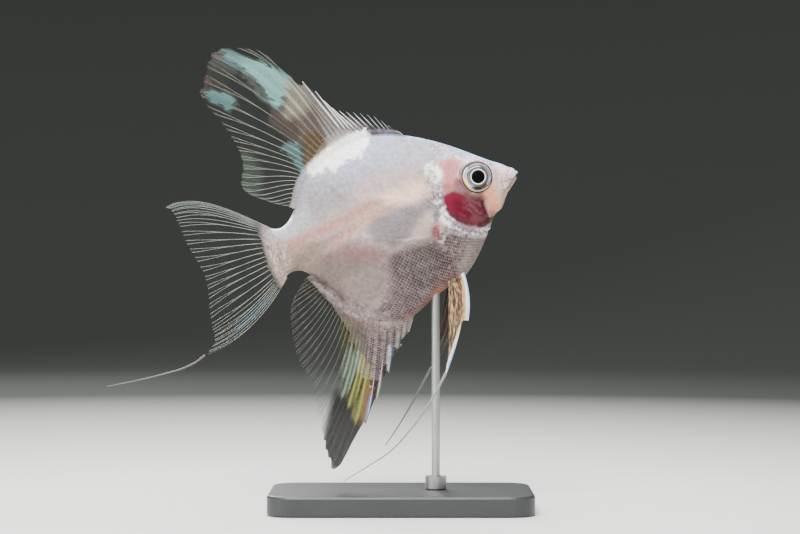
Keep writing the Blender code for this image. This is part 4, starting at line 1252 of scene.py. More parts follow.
RELIEF = (
    PlateEdge(GILL_MARGIN, 0.36, 5.0, 0.2, 0.16),
    Crease(MOUTH, -0.42, 0.15),
    Crease(MOUTH, 0.16, 0.3, 0.42),
    Crease(MOUTH, 0.15, 0.32, -0.44),
    Crease(((59.2, 1.6), (58, 0.6), (57, -0.8), (56.3, -2.4), (55.8, -3.6)), -0.12, 0.2),
    Crease(((59.4, -2), (58, -2.9), (56.6, -4.2)), -0.09, 0.2),
    Crease(((55.9, -3.9), (54, -5.4), (52.2, -6.8)), -0.1, 0.24),
    Crease(((47.2, 6.6), (45.9, 4), (45.4, 0.5), (45.9, -3.2), (47.3, -6.2), (49.4, -8.2),
        (51.6, -8.4)), -0.13, 0.28),
    Crease(((47.2, 6.6), (45.9, 4), (45.4, 0.5), (45.9, -3.2), (47.3, -6.2), (49.4, -8.2),
        (51.6, -8.4)), 0.1, 0.5, 0.6),
    Crease(((45.8, -9.4), (47.8, -9.8), (50, -9)), -0.12, 0.2),
    Crease(((46.2, -1), (48, -3.2), (50.6, -3.9), (53.4, -2.9)), -0.07, 0.28),
    Crease(((54.8, 1.8), (56, -0.2), (55.6, -2.6)), -0.05, 0.35),
    Dome((54.5, 3.75), (0.34, 0.26), -0.4, -35),
    Dome((54.5, 3.75), (0.75, 0.6), 0.1, -35),
    Dome((56.2, -2.4), (0.9, 0.6), 0.12, 30),
    Dome((37.1, -8), (1.35, 2.5), 0.65, 10),
    Dome((38.3, -18.6), (2.4, 1.8), 0.35, 0),
)


@dataclass(frozen=True)
class Orbit:
    """The eye's seat in the skin: a collar that lifts round it and a pit behind it."""

    collar_reach: float = 5.7       # radius at which the collar has settled
    collar_seat: float = 0.25       # collar out from the eye's middle plane
    pit_depth: float = 2.9
    rim_height: float = 0.13
    rim_width: float = 0.3
    softness: float = 0.1           # rounds the change from lifted to lowered

    def lift(self, points: Array) -> Array:
        """Move of each point along its side, from the round distance to the eye.

        Formula: up to the collar's height where the head is narrower than the eye is
        deep, down to it close by where it is wider, plus a bell at the rim, less the
        pit inside it.

        Args:
            points: points of the skin.

        Returns:
            One move for each point, millimetres.
        """
        radius = eye_distance(points)
        width = np.abs(points[..., 1])
        want = EYE_SEAT + self.collar_seat - width
        over = (want + np.sqrt(want ** 2 + self.softness)) / 2
        collar = over * (1 - soft_step(EYE_RADIUS - 0.1, self.collar_reach, radius))
        level = (want - np.sqrt(want ** 2 + self.softness)) / 2
        collar += level * (1 - soft_step(EYE_RADIUS + 0.1, EYE_RADIUS + 1.1, radius))
        rim = self.rim_height * bell(radius - EYE_RADIUS - 0.3, self.rim_width)
        pit = self.pit_depth * (1 - soft_step(EYE_RADIUS - 0.34, EYE_RADIUS + 0.04, radius))
        return collar + rim - pit


@dataclass(frozen=True)
class BodyForm:
    """The body's surface as a function of the place along it and the turn round it."""

    inset: float = COAT_DEPTH
    orbit: Orbit = Orbit()
    relief: tuple[Crease | PlateEdge | Dome, ...] = RELIEF
    clear_round_eye: float = 3.2    # the relief is left out this far round the eye

    def ring(self, x: Array, turn: Array) -> Array:
        """Plain surface points, before the relief.

        Formula: y is the half width times cos of the turn to the power KEEL; z is the
        height of the widest place plus the reach up or down times sin of the turn.

        Args:
            x: places along the body.
            turn: angles, 0 at the left flank and a quarter turn at the back.

        Returns:
            Points as (..., 3).
        """
        x, turn = np.broadcast_arrays(x, turn)
        half, middle = np.moveaxis(read_curve(GIRTH, x), -1, 0)
        top = read_curve(BACK, x)[..., 0] - self.inset - middle
        bottom = middle - read_curve(BELLY, x)[..., 0] - self.inset
        c, s = np.cos(turn), np.sin(turn)
        side = (half - self.inset) * np.abs(c) ** KEEL * np.sign(c)
        return np.stack((x, side, middle + np.where(s > 0, top, bottom) * s), axis=-1)

    def normal(self, x: Array, turn: Array) -> Array:
        """Outward directions, from differences of the ring along and round the body.

        Args:
            x: places along the body.
            turn: turns round the ring, radians.

        Returns:
            One unit direction for each point.
        """
        step, twist = 0.05, 0.01
        along = self.ring(x + step, turn) - self.ring(x - step, turn)
        around = self.ring(x, turn + twist) - self.ring(x, turn - twist)
        out = np.cross(around, along)
        return out / np.maximum(np.linalg.norm(out, axis=-1, keepdims=True), 1e-9)

    def surface(self, x: Array, turn: Array, lift: Array | float = 0.0) -> Array:
        """Finished surface points with the relief, a lift above them, and the orbit.

        Args:
            x: places along the body.
            turn: angles round it.
            lift: height above the skin.

        Returns:
            Points as (n, 3).
        """
        points = self.ring(x, turn)
        flat = flattened(points)
        rise = np.zeros(len(flat))
        for feature in self.relief:
            near = within(flat, feature.path, feature.margin())
            rise[near] += feature.rise(flat[near])
        rise = rise.reshape(x.shape)
        clear = 1 - bell(eye_distance(points), self.clear_round_eye)
        points = points + self.normal(x, turn) * (rise * clear + lift)[..., None]
        points[..., 1] += np.sign(points[..., 1]) * self.orbit.lift(points) * (
            np.abs(points[..., 1]) > 0.2)
        return points


@dataclass
class FlankMap:
    """The body unrolled: turns read from the distance over the skin from the flank line.

    Sums short lengths of each ring away from the widest place, which is distance 0;
    the back is at positive distances and the belly at negative ones.
    """

    form: BodyForm
    stations: Array = field(default_factory=lambda: np.linspace(REAR_END, SNOUT_END, 240))
    reach: float = 34.0             # greatest distance listed
    overlap: float = 0.6            # radians read past the back and the belly
    turn_count: int = 401
    place_count: int = 545

    def __post_init__(self) -> None:
        """Work out both tables, station by turn and station by distance."""
        self.turns = np.linspace(-math.pi / 2 - self.overlap,
                                 math.pi / 2 + self.overlap, self.turn_count)
        rings = self.form.ring(self.stations[:, None], self.turns[None])
        steps = np.linalg.norm(np.diff(rings, axis=1), axis=2)
        run = np.concatenate((np.zeros((len(self.stations), 1)), steps.cumsum(1)), axis=1)
        self.arcs = run - run[:, self.turn_count // 2, None]
        self.places = np.linspace(-self.reach, self.reach, self.place_count)
        self.table = np.array([np.interp(self.places, arc, self.turns)
                               for arc in self.arcs])

    def _blend(self, table: Array, x: Array, cell: Array) -> Array:
        """Read a table between stations and columns, straight-line both ways.

        Args:
            table: values by station and column.
            x: places along the body.
            cell: columns, with their fractions.

        Returns:
            One value for each place.
        """
        row = (x - self.stations[0]) / (self.stations[1] - self.stations[0])
        i = np.clip(row.astype(int), 0, len(self.stations) - 2)
        j = np.clip(cell.astype(int), 0, table.shape[1] - 2)
        u, v = np.clip(row - i, 0, 1), np.clip(cell - j, 0, 1)
        return ((table[i, j] * (1 - v) + table[i, j + 1] * v) * (1 - u)
                + (table[i + 1, j] * (1 - v) + table[i + 1, j + 1] * v) * u)

    def turn(self, x: Array, distance: Array) -> Array:
        """Turn at a distance over the skin from the flank line."""
        spacing = self.places[1] - self.places[0]
        return self._blend(self.table, x, (distance + self.reach) / spacing)

    def distance(self, x: Array, turn: Array) -> Array:
        """Distance over the skin from the flank line at a turn."""
        spacing = self.turns[1] - self.turns[0]
        return self._blend(self.arcs, x, (turn - self.turns[0]) / spacing)

    def limits(self, x: Array) -> tuple[Array, Array]:
        """Distances of the belly line and of the back line."""
        quarter = np.full(np.shape(x), math.pi / 2)
        return self.distance(x, -quarter), self.distance(x, quarter)

    def unwrap(self, x: Array, distance: Array, right: Array) -> Array:
        """Place on the unwrapped skin, the two sides laid apart, from 0 to 1.

        Args:
            x: places along the body.
            distance: distances over the skin from the flank line.
            right: true on the fish's right side.

        Returns:
            Places as (..., 2).
        """
        u = 0.01 + 0.47 * (x - REAR_END + 0.5) / (SNOUT_END - REAR_END + 1)
        v = 0.5 + 0.48 * distance / self.reach
        return np.stack((u + 0.5 * right, v), axis=-1)


@dataclass
class Skin:
    """One skin over head, jaw, gill covers, trunk and tail stalk."""

    form: BodyForm
    flank: FlankMap
    fine_from: float = 37.5         # the head has closer stations from here on
    coarse_count: int = 150
    fine_count: int = 232
    around: int = 256
    evenness: float = 0.62          # share of the turns spread evenly in height
    crowding: float = 0.96          # below 1, stations draw together at the snout
    tail_pole: float = 0.12         # pole behind the last ring
    snout_pole: float = 0.1         # pole ahead of the first ring

    def stations(self) -> Array:
        """Places along the body, closest on the head and at the snout's round end.

        Returns:
            The places, rising.
        """
        rear = np.linspace(REAR_END, self.fine_from, self.coarse_count, endpoint=False)
        front = self.fine_from + (SNOUT_END - self.fine_from) * np.linspace(
            0, 1, self.fine_count) ** self.crowding
        return np.r_[rear, front]

    def turns(self) -> Array:
        """Turns round one ring: part even in angle, part even in height.

        Returns:
            The turns in radians, once round.
        """
        u = np.linspace(-1, 1, self.around // 2, endpoint=False)
        half = (self.evenness * np.arcsin(u)
                + (1 - self.evenness) * u * math.pi / 2)
        return np.r_[half, half + math.pi]

    def shell(self) -> Shell:
        """The skin: a grid of stations and turns, with a pole at each end.

        Returns:
            The closed shell.
        """
        x, turn = np.meshgrid(self.stations(), self.turns(), indexing="ij")
        points = self.form.surface(x, turn)
        right = np.cos(turn) < 0
        distance = self.flank.distance(x, np.where(right, math.pi - turn, turn))
        poles = np.array((points[0].mean(axis=0) - (self.tail_pole, 0, 0),
                          points[-1].mean(axis=0) + (self.snout_pole, 0, 0)))
        return capped_grid(points, poles, BODY_PAINTING.colours(flattened(points)),
                           self.flank.unwrap(x, distance, right).reshape(-1, 2))


NAKED_FACE = (
    (45.2, 10.2), (43.7, 9.1), (41.5, 6.4), (39.95, 3.2), (39.3, 0), (38.8, -2.5),
    (39.3, -5), (40.8, -7.4), (43.2, -9.7), (45.8, -11), (48.5, -11.6),
    (51, -11.6), (62, -8), (62, 3), (53, 9.5), (51.4, 6.9), (48.6, 8),
)
# Where the scales stand up more and carry a painted highlight on their rims
SPARKLE = (
    Patch(Pigment.WHITE, ((21, -17), (22.5, -10.5), (27, -9), (42, -9), (49, -12), (46, -20),
        (30, -30), (8, -30), (10, -20), (15, -18.4)), 3.0, 1.0, 0.4),
    Patch(Pigment.WHITE, ((37, 9), (43.4, 9), (42, 5), (39.5, 0), (39, -5), (44, -10), (49, -11),
        (48, -14), (40, -9.5), (37, -7)), 1.6, 0.6),
    Patch(Pigment.WHITE, ((44, 8.5), (51, 6.6), (52, 9), (46, 13.5), (42, 14), (41, 11)), 1.0,
        0.5),
    Patch(Pigment.WHITE, ((10, 9.5), (30, 10), (42, 10), (42, 17), (26, 23), (8, 17)), 2.0, 0.28),
    Patch(Pigment.WHITE, ((-6, 9), (3, 6), (9, 12), (12, 16), (6, 16)), 2.0, 0.35),
    Patch(Pigment.WHITE, ((-6, -5), (3, -5), (7, -12), (12, -20), (8, -24), (-6, -9)), 2.0, 0.45),
)


@dataclass(frozen=True)
class ScaleShape:
    """One scale as a grid: back from its root, across it, and its height."""

    length: float                   # in pitches
    half_breadth: float             # in row spacings
    root_sink: float                # root edge below the skin
    edge_rise: float                # free edge above the skin
    crown: float                    # middle above the sides
    cells: int                      # faces along and across
    patch: float = 0.003            # width of one scale on the unwrapped skin
    bow: float = 0.36               # how far the free edge is drawn back at the sides
    climb: float = 1.3              # above 1, the height climbs late

    def grid(self) -> tuple[Array, Array, Array, Array]:
        """Back, across, height, and nearness to the free edge, at each point of a scale.

        Formula: the half breadth swells from the root and holds to the round free
        edge, which is drawn back by the square of the place across; the height climbs
        from root to edge as a power and crowns across the middle.

        Returns:
            The four, one value for each point of the grid.
        """
        u, v = (part.ravel() for part in np.meshgrid(
            np.linspace(0, 1, self.cells + 1), np.linspace(-1, 1, self.cells + 1),
            indexing="ij"))
        back = self.length * u * (1 - self.bow * v ** 2 * u)
        across = self.half_breadth * v * (0.62 + 0.76 * u - 0.5 * u ** 2)
        height = (-self.root_sink + (self.edge_rise + self.root_sink) * u ** self.climb
                  + self.crown * (1 - v ** 2) * np.sqrt(u))
        edge = np.clip(np.maximum(u, 0.82 * np.abs(v)) * 3 - 2, 0, 1)
        return back, across, height, edge

    def coat(self, points: Array, paint: Array, glint: Array, sparkle: Array,
             roots: Array) -> Shell:
        """Many scales as one shell, each a domed top closed by one flat face below.

        Args:
            points: (scales, points of a scale, 3) grid points.
            paint: a colour for each point.
            glint: a random value for each scale.
            sparkle: how bright the rim's painted highlight is, for each point.
            roots: (scales, 2) places of the roots on the unwrapped skin.

        Returns:
            The shell; its detail is the edge nearness, glint and sparkle.
        """
        back, across, _, edge = self.grid()
        count, side, size = len(points), self.cells + 1, len(edge)
        shift = (np.arange(count) * size)[:, None]
        faces = [(grid_faces(side, side, False) + shift[..., None]).reshape(-1, 4),
                 grid_rim(side, side)[::-1] + shift]
        spread = self.patch * np.column_stack((0.5 - back / self.length, across / 2.2))
        return Shell(points.reshape(-1, 3), faces, paint,
                     np.column_stack((np.tile(edge, count), np.repeat(glint, size),
                                      sparkle)),
                     (roots[:, None] + spread).reshape(-1, 2)).outward()


@dataclass
class ScaleCoat:
    """Overlapping scales in staggered rows over the skin, smallest towards the head."""

    form: BodyForm
    flank: FlankMap
    pitch: float = 1.0              # from one scale to the next along its row, mid-body
    row_spacing: float = 0.54       # between rows over the skin, mid-body
    shape: ScaleShape = ScaleShape(1.62, 1.06, 0.05, 0.11, 0.035, 4)
    calm: float = 0.22              # share of the rise left where the coat is smooth
    length_spread: float = 0.06     # of the scales' lengths
    rise_range: Row = (0.75, 1.3)   # of the scales' heights
    edge_gap: float = 0.35          # bare line along back and belly, in row spacings
    seed: int = 11
    most_rows: int = 62             # rows tried above and below the flank line
    tail_gap: float = 0.7           # bare strip at the rear end
    head_end: float = 52.0          # the coat ends here over the eye
    fin_root: Dome = Dome((37.1, -8), (1.35, 2.3), 1.0, 10)     # bare round this root

    def size(self, x: Array) -> Array:
        """Scale size by place: full on the trunk, smaller on the stalk and the head."""
        keys = ((-8, 0.62), (4, 0.80), (24, 1.0), (40, 0.80), (60, 0.46))
        return read_curve(keys, x)[..., 0]

    def columns(self) -> tuple[Array, Array]:
        """Matching lists of place along the body and of scales counted along a row.

        Returns:
            The places, and the count of scales up to each.
        """
        x = np.linspace(REAR_END - 1, self.head_end + 4, 700)
        pace = 1 / (self.pitch * self.size(x))
        steps = (pace[1:] + pace[:-1]) / 2 * np.diff(x)
        return x, np.r_[0, np.cumsum(steps)]

    def roots(self) -> tuple[Array, Array]:
        """Column and row of every scale on one side, odd rows set half a pitch along.

        Returns:
            The columns and the rows.
        """
        x_list, column_list = self.columns()
        rows = np.arange(-self.most_rows, self.most_rows + 1)
        column, row = np.meshgrid(np.arange(column_list[-1]), rows, indexing="ij")
        column = (column + 0.5 * (row % 2)).ravel()
        row = row.ravel().astype(float)
        x = np.interp(column, column_list, x_list)
        distance = row * self.row_spacing * self.size(x)
        low, high = self.flank.limits(x)
        turn = self.flank.turn(x, distance)
        flat = self.form.ring(x, turn)[:, (0, 2)]
        margin = self.edge_gap * self.row_spacing
        keep = (distance > low + margin) & (distance < high - margin)
        keep &= outline_depth(flat, NAKED_FACE) < 0
        keep &= (x > REAR_END + self.tail_gap) & (x < self.head_end)
        keep &= self.fin_root.rise(flat) < 0.5
        return column[keep], row[keep]

    def shell(self, side: int) -> Shell:
        """All scales of one side.

        Args:
            side: 1 for the fish's left, -1 for its right.

        Returns:
            The scales as one shell.
        """
        column, row = self.roots()
        rng = np.random.default_rng(self.seed)
        count = len(column)
        back, across, height, _ = self.shape.grid()
        wobble = 1 + self.length_spread * rng.standard_normal((count, 1))
        tip = rng.uniform(*self.rise_range, (count, 1))
        x_list, column_list = self.columns()
        x = np.interp(column[:, None] - back * wobble, column_list, x_list)
        x = np.maximum(x, REAR_END)
        distance = (row[:, None] + across) * self.row_spacing * self.size(x)
        turn = self.flank.turn(x, distance)
        flat = flattened(self.form.ring(x, turn))
        sparkle = np.max([mark.mask(flat) for mark in SPARKLE], axis=0)
        relief = self.calm + (1 - self.calm) * sparkle.reshape(x.shape)
        lift = np.where(height > 0, height * tip * relief, height) * self.size(x)
        points = self.form.surface(x, turn, lift)
        paint = BODY_PAINTING.colours(flattened(points))
        root_x = np.interp(column, column_list, x_list)
        roots = self.flank.unwrap(root_x, row * self.row_spacing * self.size(root_x),
                                  np.full(count, side < 0))
        if side < 0:
            points = points * (1, -1, 1)
        return self.shape.coat(points, paint, rng.random(count), sparkle, roots)


# Eye --------------------------------------------------------------------------------
@dataclass(frozen=True)
class IrisArc:
    """A curved stroke of colour on the iris."""

    colour: Row
    radius: float
    width: float
    middle: float = 0.0             # degrees, from the front of the eye upwards
    half_angle: float = 400.0       # degrees; large for a whole ring
    strength: float = 1.0

    def mask(self, radius: Array, angle: Array) -> Array:
        """Cover from a bell of the radius and a soft end each way round.

        Args:
            radius: distances from the eye's axis.
            angle: angles round it, radians.

        Returns:
            One value for each point.
        """
        away = np.abs((np.degrees(angle) - self.middle + 180) % 360 - 180)
        ends = 1 - soft_step(self.half_angle * 0.55, self.half_angle, away)
        return self.strength * bell(radius - self.radius, self.width) * ends


@dataclass
class Eye:
    """One flattened eyeball: dark pupil, bright ring and a silver and gold iris."""

    side: int
    pupil_shift: Row = (0.3, -0.1)  # pupil from the eye's middle
    pupil_radius: float = 1.62
    pupil_dome: float = 0.08
    pupil_edge: Row = (-0.05, 0.07)     # its soft edge, inside and outside the radius
    front_depth: float = 0.9 * EYE_DEPTH
    back_depth: float = 0.8 * EYE_DEPTH
    # height, radius and width of the rings round the pupil
    ripples: Rows = ((-0.07, 1.72, 0.07), (0.05, 1.95, 0.14), (-0.1, 2.65, 0.4))
    silver: Row = (0.17, 0.17, 0.17)
    pupil_colour: Row = (0.002, 0.0015, 0.0025)
    around: int = 112
    front_rows: int = 64
    back_rows: int = 14
    arcs: tuple[IrisArc, ...] = (
        IrisArc((0.045, 0.045, 0.05), 3.4, 0.26, 70, 75),
        IrisArc((0.55, 0.55, 0.53), 3.08, 0.09, 88, 62, 0.85),
        IrisArc((0.04, 0.04, 0.05), 2.72, 0.2, 82, 85),
        IrisArc((0.8, 0.78, 0.76), 2.5, 0.11, 98, 50, 0.95),
        IrisArc((0.03, 0.03, 0.04), 2.22, 0.14, 85, 80),
        IrisArc((0.95, 0.96, 0.97), 3.3, 0.15, 148, 36),
        IrisArc((0.75, 0.77, 0.8), 2.85, 0.12, 155, 46, 0.95),
        IrisArc((0.04, 0.045, 0.05), 3.06, 0.1, 150, 56),
        IrisArc((0.03, 0.03, 0.04), 2.55, 0.12, 160, 60),
        IrisArc((0.32, 0.32, 0.36), 3.1, 0.36, 5, 50, 0.8),
        IrisArc((0.04, 0.04, 0.04), 3.5, 0.12, 8, 66),
        IrisArc((0.05, 0.05, 0.05), 2.95, 0.09, 20, 52, 0.9),
        IrisArc((0.04, 0.04, 0.04), 2.42, 0.14, 8, 62),
        IrisArc((0.95, 0.92, 0.7), 3.0, 0.26, 195, 32),
        IrisArc((0.3, 0.12, 0.2), 2.5, 0.14, 182, 34, 0.85),
        IrisArc((0.95, 0.66, 0.09), 3.28, 0.22, 206, 40),
        IrisArc((0.3, 0.14, 0.02), 3.56, 0.12, 205, 48, 0.9),
        IrisArc((0.26, 0.26, 0.6), 2.5, 0.24, 228, 22, 0.9),
        IrisArc((0.012, 0.009, 0.007), 2.75, 0.52, 272, 56),
        IrisArc((0.2, 0.12, 0.05), 2.85, 0.11, 296, 34, 0.9),
        IrisArc((0.5, 0.5, 0.56), 2.9, 0.18, 322, 26, 0.8),
        IrisArc((0.95, 0.8, 0.6), 3.46, 0.12, 262, 62),
        IrisArc((0.06, 0.045, 0.04), 3.66, 0.09),
        IrisArc((0.97, 0.95, 0.9), 1.76, 0.1),
        IrisArc((0.05, 0.05, 0.06), 2.06, 0.09, strength=0.8),
    )

    def profile(self, radius: Array) -> Array:
        """Height of the front by radius: a flat oval with the pupil's dome and rings.

        Args:
            radius: distances from the eye's axis.

        Returns:
            One height for each, millimetres.
        """
        oval = np.sqrt(np.maximum(1 - (radius / EYE_RADIUS) ** 3.5, 0))
        dome = np.sqrt(np.maximum(1 - (radius / self.pupil_radius) ** 2, 0))
        height = self.front_depth * oval + self.pupil_dome * dome
        for rise, middle, width in self.ripples:
            height = height + rise * bell(radius - middle, width)
        return height

    def colours(self, radius: Array, angle: Array) -> Array:
        """Linear colour and opacity by radius and angle.

        Args:
            radius: distances from the eye's axis.
            angle: angles round it, radians.

        Returns:
            Red, green, blue and opacity for each point.
        """
        paint = np.tile((*self.silver, 1.0), (len(radius), 1))
        for arc in self.arcs:
            tint(paint, arc.mask(radius, angle), arc.colour)
        inner, outer = (self.pupil_radius + shift for shift in self.pupil_edge)
        tint(paint, 1 - soft_step(inner, outer, radius), self.pupil_colour)
        return paint

    def shell(self) -> Shell:
        """The eyeball: rings turned about its axis, front and back, with two poles.

        Returns:
            The closed shell.
        """
        front = np.linspace(0.05, EYE_RADIUS, self.front_rows)
        slant = np.linspace(0, math.pi / 2, self.back_rows + 1)[1:-1]
        radius = np.r_[front, EYE_RADIUS * np.cos(slant)]
        height = np.r_[self.profile(front), -self.back_depth * np.sin(slant)]
        angle = np.linspace(0, 2 * math.pi, self.around, endpoint=False)
        r, phi = np.meshgrid(radius, angle, indexing="ij")
        drift = np.maximum(1 - r / EYE_RADIUS, 0)
        x = EYE_CENTRE[0] + self.pupil_shift[0] * drift + r * np.cos(phi)
        z = EYE_CENTRE[1] + self.pupil_shift[1] * drift + r * np.sin(phi)
        y = np.broadcast_to(self.side * (EYE_SEAT + height)[:, None], x.shape)
        front_pole = (*(np.array(EYE_CENTRE) + self.pupil_shift),
                      self.side * (EYE_SEAT + self.profile(np.array(0.0))))
        back_pole = (*EYE_CENTRE, self.side * (EYE_SEAT - self.back_depth))
        return capped_grid(np.stack((x, y, z), axis=-1),
                           np.array((front_pole, back_pole))[:, (0, 2, 1)],
                           self.colours(r.ravel(), phi.ravel()))


# Fins -------------------------------------------------------------------------------
def tall_sway(flat: Array) -> Array:
    """Middle of the dorsal and anal fins: aside by the 1.5th power of the far height."""
    far = np.clip((np.abs(flat[..., 1]) - TALL_ROOT) / TALL_SPAN, 0, 1.2)
    return FIN_SWAY * far ** 1.5 * np.sign(flat[..., 1])


def tail_sway(flat: Array) -> Array:
    """Middle of the tail fin: to the right by the 1.6th power of the distance behind."""
    far = np.clip(-flat[..., 0] / TAIL_SPAN, 0, 2.2)
    return -FIN_SWAY * far ** 1.6


def pelvic_splay(side: int) -> Callable[[Array], Array]:
    """Middle of a pelvic fin: straight outwards with the drop below its root."""
    return lambda flat: side * (PELVIC_ROOT + PELVIC_SPLAY * (PELVIC_LEVEL - flat[..., 1]))


def pectoral_flare(side: int) -> Callable[[Array], Array]:
    """Middle of a pectoral fin: straight outwards with the distance behind its root."""
    return lambda flat: side * (
        PECTORAL_ROOT + np.maximum(PECTORAL_FRONT - flat[..., 0], 0) * math.tan(PECTORAL_FLARE))


def swing(rays: Rows, angle: float) -> list[Row]:
    """Turn pelvic rays back about the first ray's root.

    Args:
        rays: rows with the root's z.
        angle: how far, in radians.

    Returns:
        The turned rows, each root kept in its place.
    """
    turn = np.array(((math.cos(angle), math.sin(angle)),
                     (-math.sin(angle), math.cos(angle))))
    pivot = np.array(rays[0][1:3])
    less = math.degrees(angle)
    return [(number, x, z, *(pivot + turn @ (np.array((tip_x, tip_z)) - pivot)),
             leave - less, arrive - less, web)
            for number, x, z, tip_x, tip_z, leave, arrive, web in rays]


def rooted(rays: Rows, outline: Rows, lift: float) -> list[Row]:
    """Add the root's z, on the back or belly outline plus a lift, to rows of rays."""
    return [(number, x, float(read_curve(outline, np.array(x))[0]) + lift, *rest)
            for number, x, *rest in rays]


@dataclass
class Fin:
    """A thin web on rays, each a surface over the ray number and the share along it."""

    name: str
    rays: Rows
    aside: Callable[[Array], Array]
    painting: Painting
    nodes: tuple[str, ...]
    ray_pigment: Pigment = Pigment.RAY_WHITE
    spine_pigment: Pigment = Pigment.SPINE_WHITE
    run_on: float = 0.0             # how far the body's colours run out on the fin, mm
    ray_cover: float = 0.85         # how much of the ray's own colour shows
    ray_opacity: float = 0.85
    last_spine: float = -1          # rays up to this one are single stiff spines
    jagged: float = 0               # the web is notched between rays up to this one
    cusp: float = 3.0               # how sharply the web climbs to a ray's tip
    root_half: float = 0.3          # half thickness where the fin leaves the body
    edge_half: float = 0.05         # half thickness at the free edge
    ridge: float = 0.025            # extra half thickness on a ray
    fillet: float = 0.0             # extra half thickness right at the root
    fillet_reach: float = 1.5       # how far out it dies away
    scallop: float = 0.022          # dip of the edge between rays, as a share of a ray
    pucker: float = 0.07            # how far the web is drawn aside between rays
    sink: float = 1.3               # how far the fin runs on inside the body
    ray_radius: float = 0.1
    spine_radius: float = 0.15
    spine_length: float = 8.0       # a spine this long has the full radius
    spine_taper: float = 0.82       # share of the radius lost at its tip
    split: float = 0.52             # share along a ray where it first forks
    second_split: float = 0.78
    end_spread: float = 0.6         # how far the last ends part, as a share of a fork
    extra: Row = ()                 # numbers of thin unforked rays between the others
    fork: float = 0.2               # spread of a fork, in ray numbers
    ray_steps: int = 18             # rings along a ray that doesn't fork
    between: int = 6                # columns of web from one ray to the next
    web_rows: int = 34
    side_offset: float = 0.0        # shift in x of the whole fin

    def last(self) -> float:
        """Number of the last ray."""
        return self.rays[-1][0]

    def flat(self, number: Array, share: Array) -> Array:
        """Flat points at ray numbers and shares along them; below 0 is in the body.

        Formula: a cubic Hermite from root to tip, whose slopes are the two headings
        times the ray's length; before the root, straight back along the first heading.

        Args:
            number: ray numbers, with fractions between rays.
            share: shares along them.

        Returns:
            The points, with one more axis.
        """
        number, share = np.broadcast_arrays(number, share)
        row = read_curve(self.rays, number)
        root, tip = row[..., 0:2], row[..., 2:4]
        length = np.linalg.norm(tip - root, axis=-1, keepdims=True)
        leave, arrive = (np.stack((np.cos(a), np.sin(a)), axis=-1) * length
                         for a in np.moveaxis(np.radians(row[..., 4:6]), -1, 0))
        s = np.maximum(share, 0)[..., None]
        inner = np.minimum(share, 0)[..., None] * leave / length
        out = (root + (tip - root) * s * s * (3 - 2 * s)
               + leave * s * (1 - s) ** 2 + arrive * s * s * (s - 1) + inner)
        return out + (self.side_offset, 0)

    def lengths(self, number: Array) -> Array:
        """Straight length of the rays with the given numbers."""
        row = read_curve(self.rays, number)
        return np.linalg.norm(row[..., 2:4] - row[..., 0:2], axis=-1)

    @staticmethod
    def nearness(number: Array) -> Array:
        """Nearness to a ray, from 0 midway between two to 1 on one."""
        return np.abs(2 * (number % 1) - 1)

    def reach(self, number: Array) -> Array:
        """Share of the ray length that the web covers.

        Formula: full on a ray; between rays down to the row's share, by a power of the
        distance from the middle, with a small scallop and a ragged edge.

        Args:
            number: ray numbers.

        Returns:
            One share for each.
        """
        web = np.interp(number, [row[0] for row in self.rays],
                        [row[-1] for row in self.rays])
        nearness = self.nearness(number)
        notched = np.where(number < self.jagged,
                           web + (1 - web) * nearness ** self.cusp, 1.0)
        ragged = mottle(np.column_stack((number.ravel(), number.ravel() * 0)), 0.3, 3)
        return notched - self.scallop * (1 - nearness ** 2) * (
            0.4 + ragged.reshape(number.shape))

    def half_thickness(self, number: Array, share: Array) -> Array:
        """Half thickness: falls from the root as a power, plus a fillet's exponential.

        Args:
            number: ray numbers.
            share: shares along them.

        Returns:
            One half thickness for each, millimetres.
        """
        s = np.clip(share, 0, 1)
        nearness = self.nearness(number)
        fillet = self.fillet * np.exp(-s * self.lengths(number) / self.fillet_reach)
        return (self.edge_half + (self.root_half - self.edge_half) * (1 - s) ** 3
                + self.ridge * nearness ** 4 * (1 - s) + fillet)

    def middle(self, flat: Array, number: Array, share: Array) -> Array:
        """Points on the fin's middle, its web slightly puckered between the rays."""
        pucker = self.pucker * np.sin(2 * math.pi * number) * soft_step(0, 0.3, share)
        return np.stack((flat[..., 0], self.aside(flat) + pucker, flat[..., 1]), axis=-1)

    def colours(self, flat: Array, along: Array) -> Array:
        """The painting at flat points, the body's own colours near the root.

        Args:
            flat: points as (n, 2).
            along: millimetres along the ray.

        Returns:
            Red, green, blue and opacity for each point.
        """
        paint = self.painting.colours(flat)
        if self.run_on:
            root = 1 - soft_step(0.2 * self.run_on, self.run_on, along)[:, None]
            near = root[:, 0] > 0
            body = BODY_PAINTING.colours(flat[near])[:, :3]
            paint[near, :3] += root[near] * (body - paint[near, :3])
            paint[:, 3:] = np.maximum(paint[:, 3:], root)
        return paint

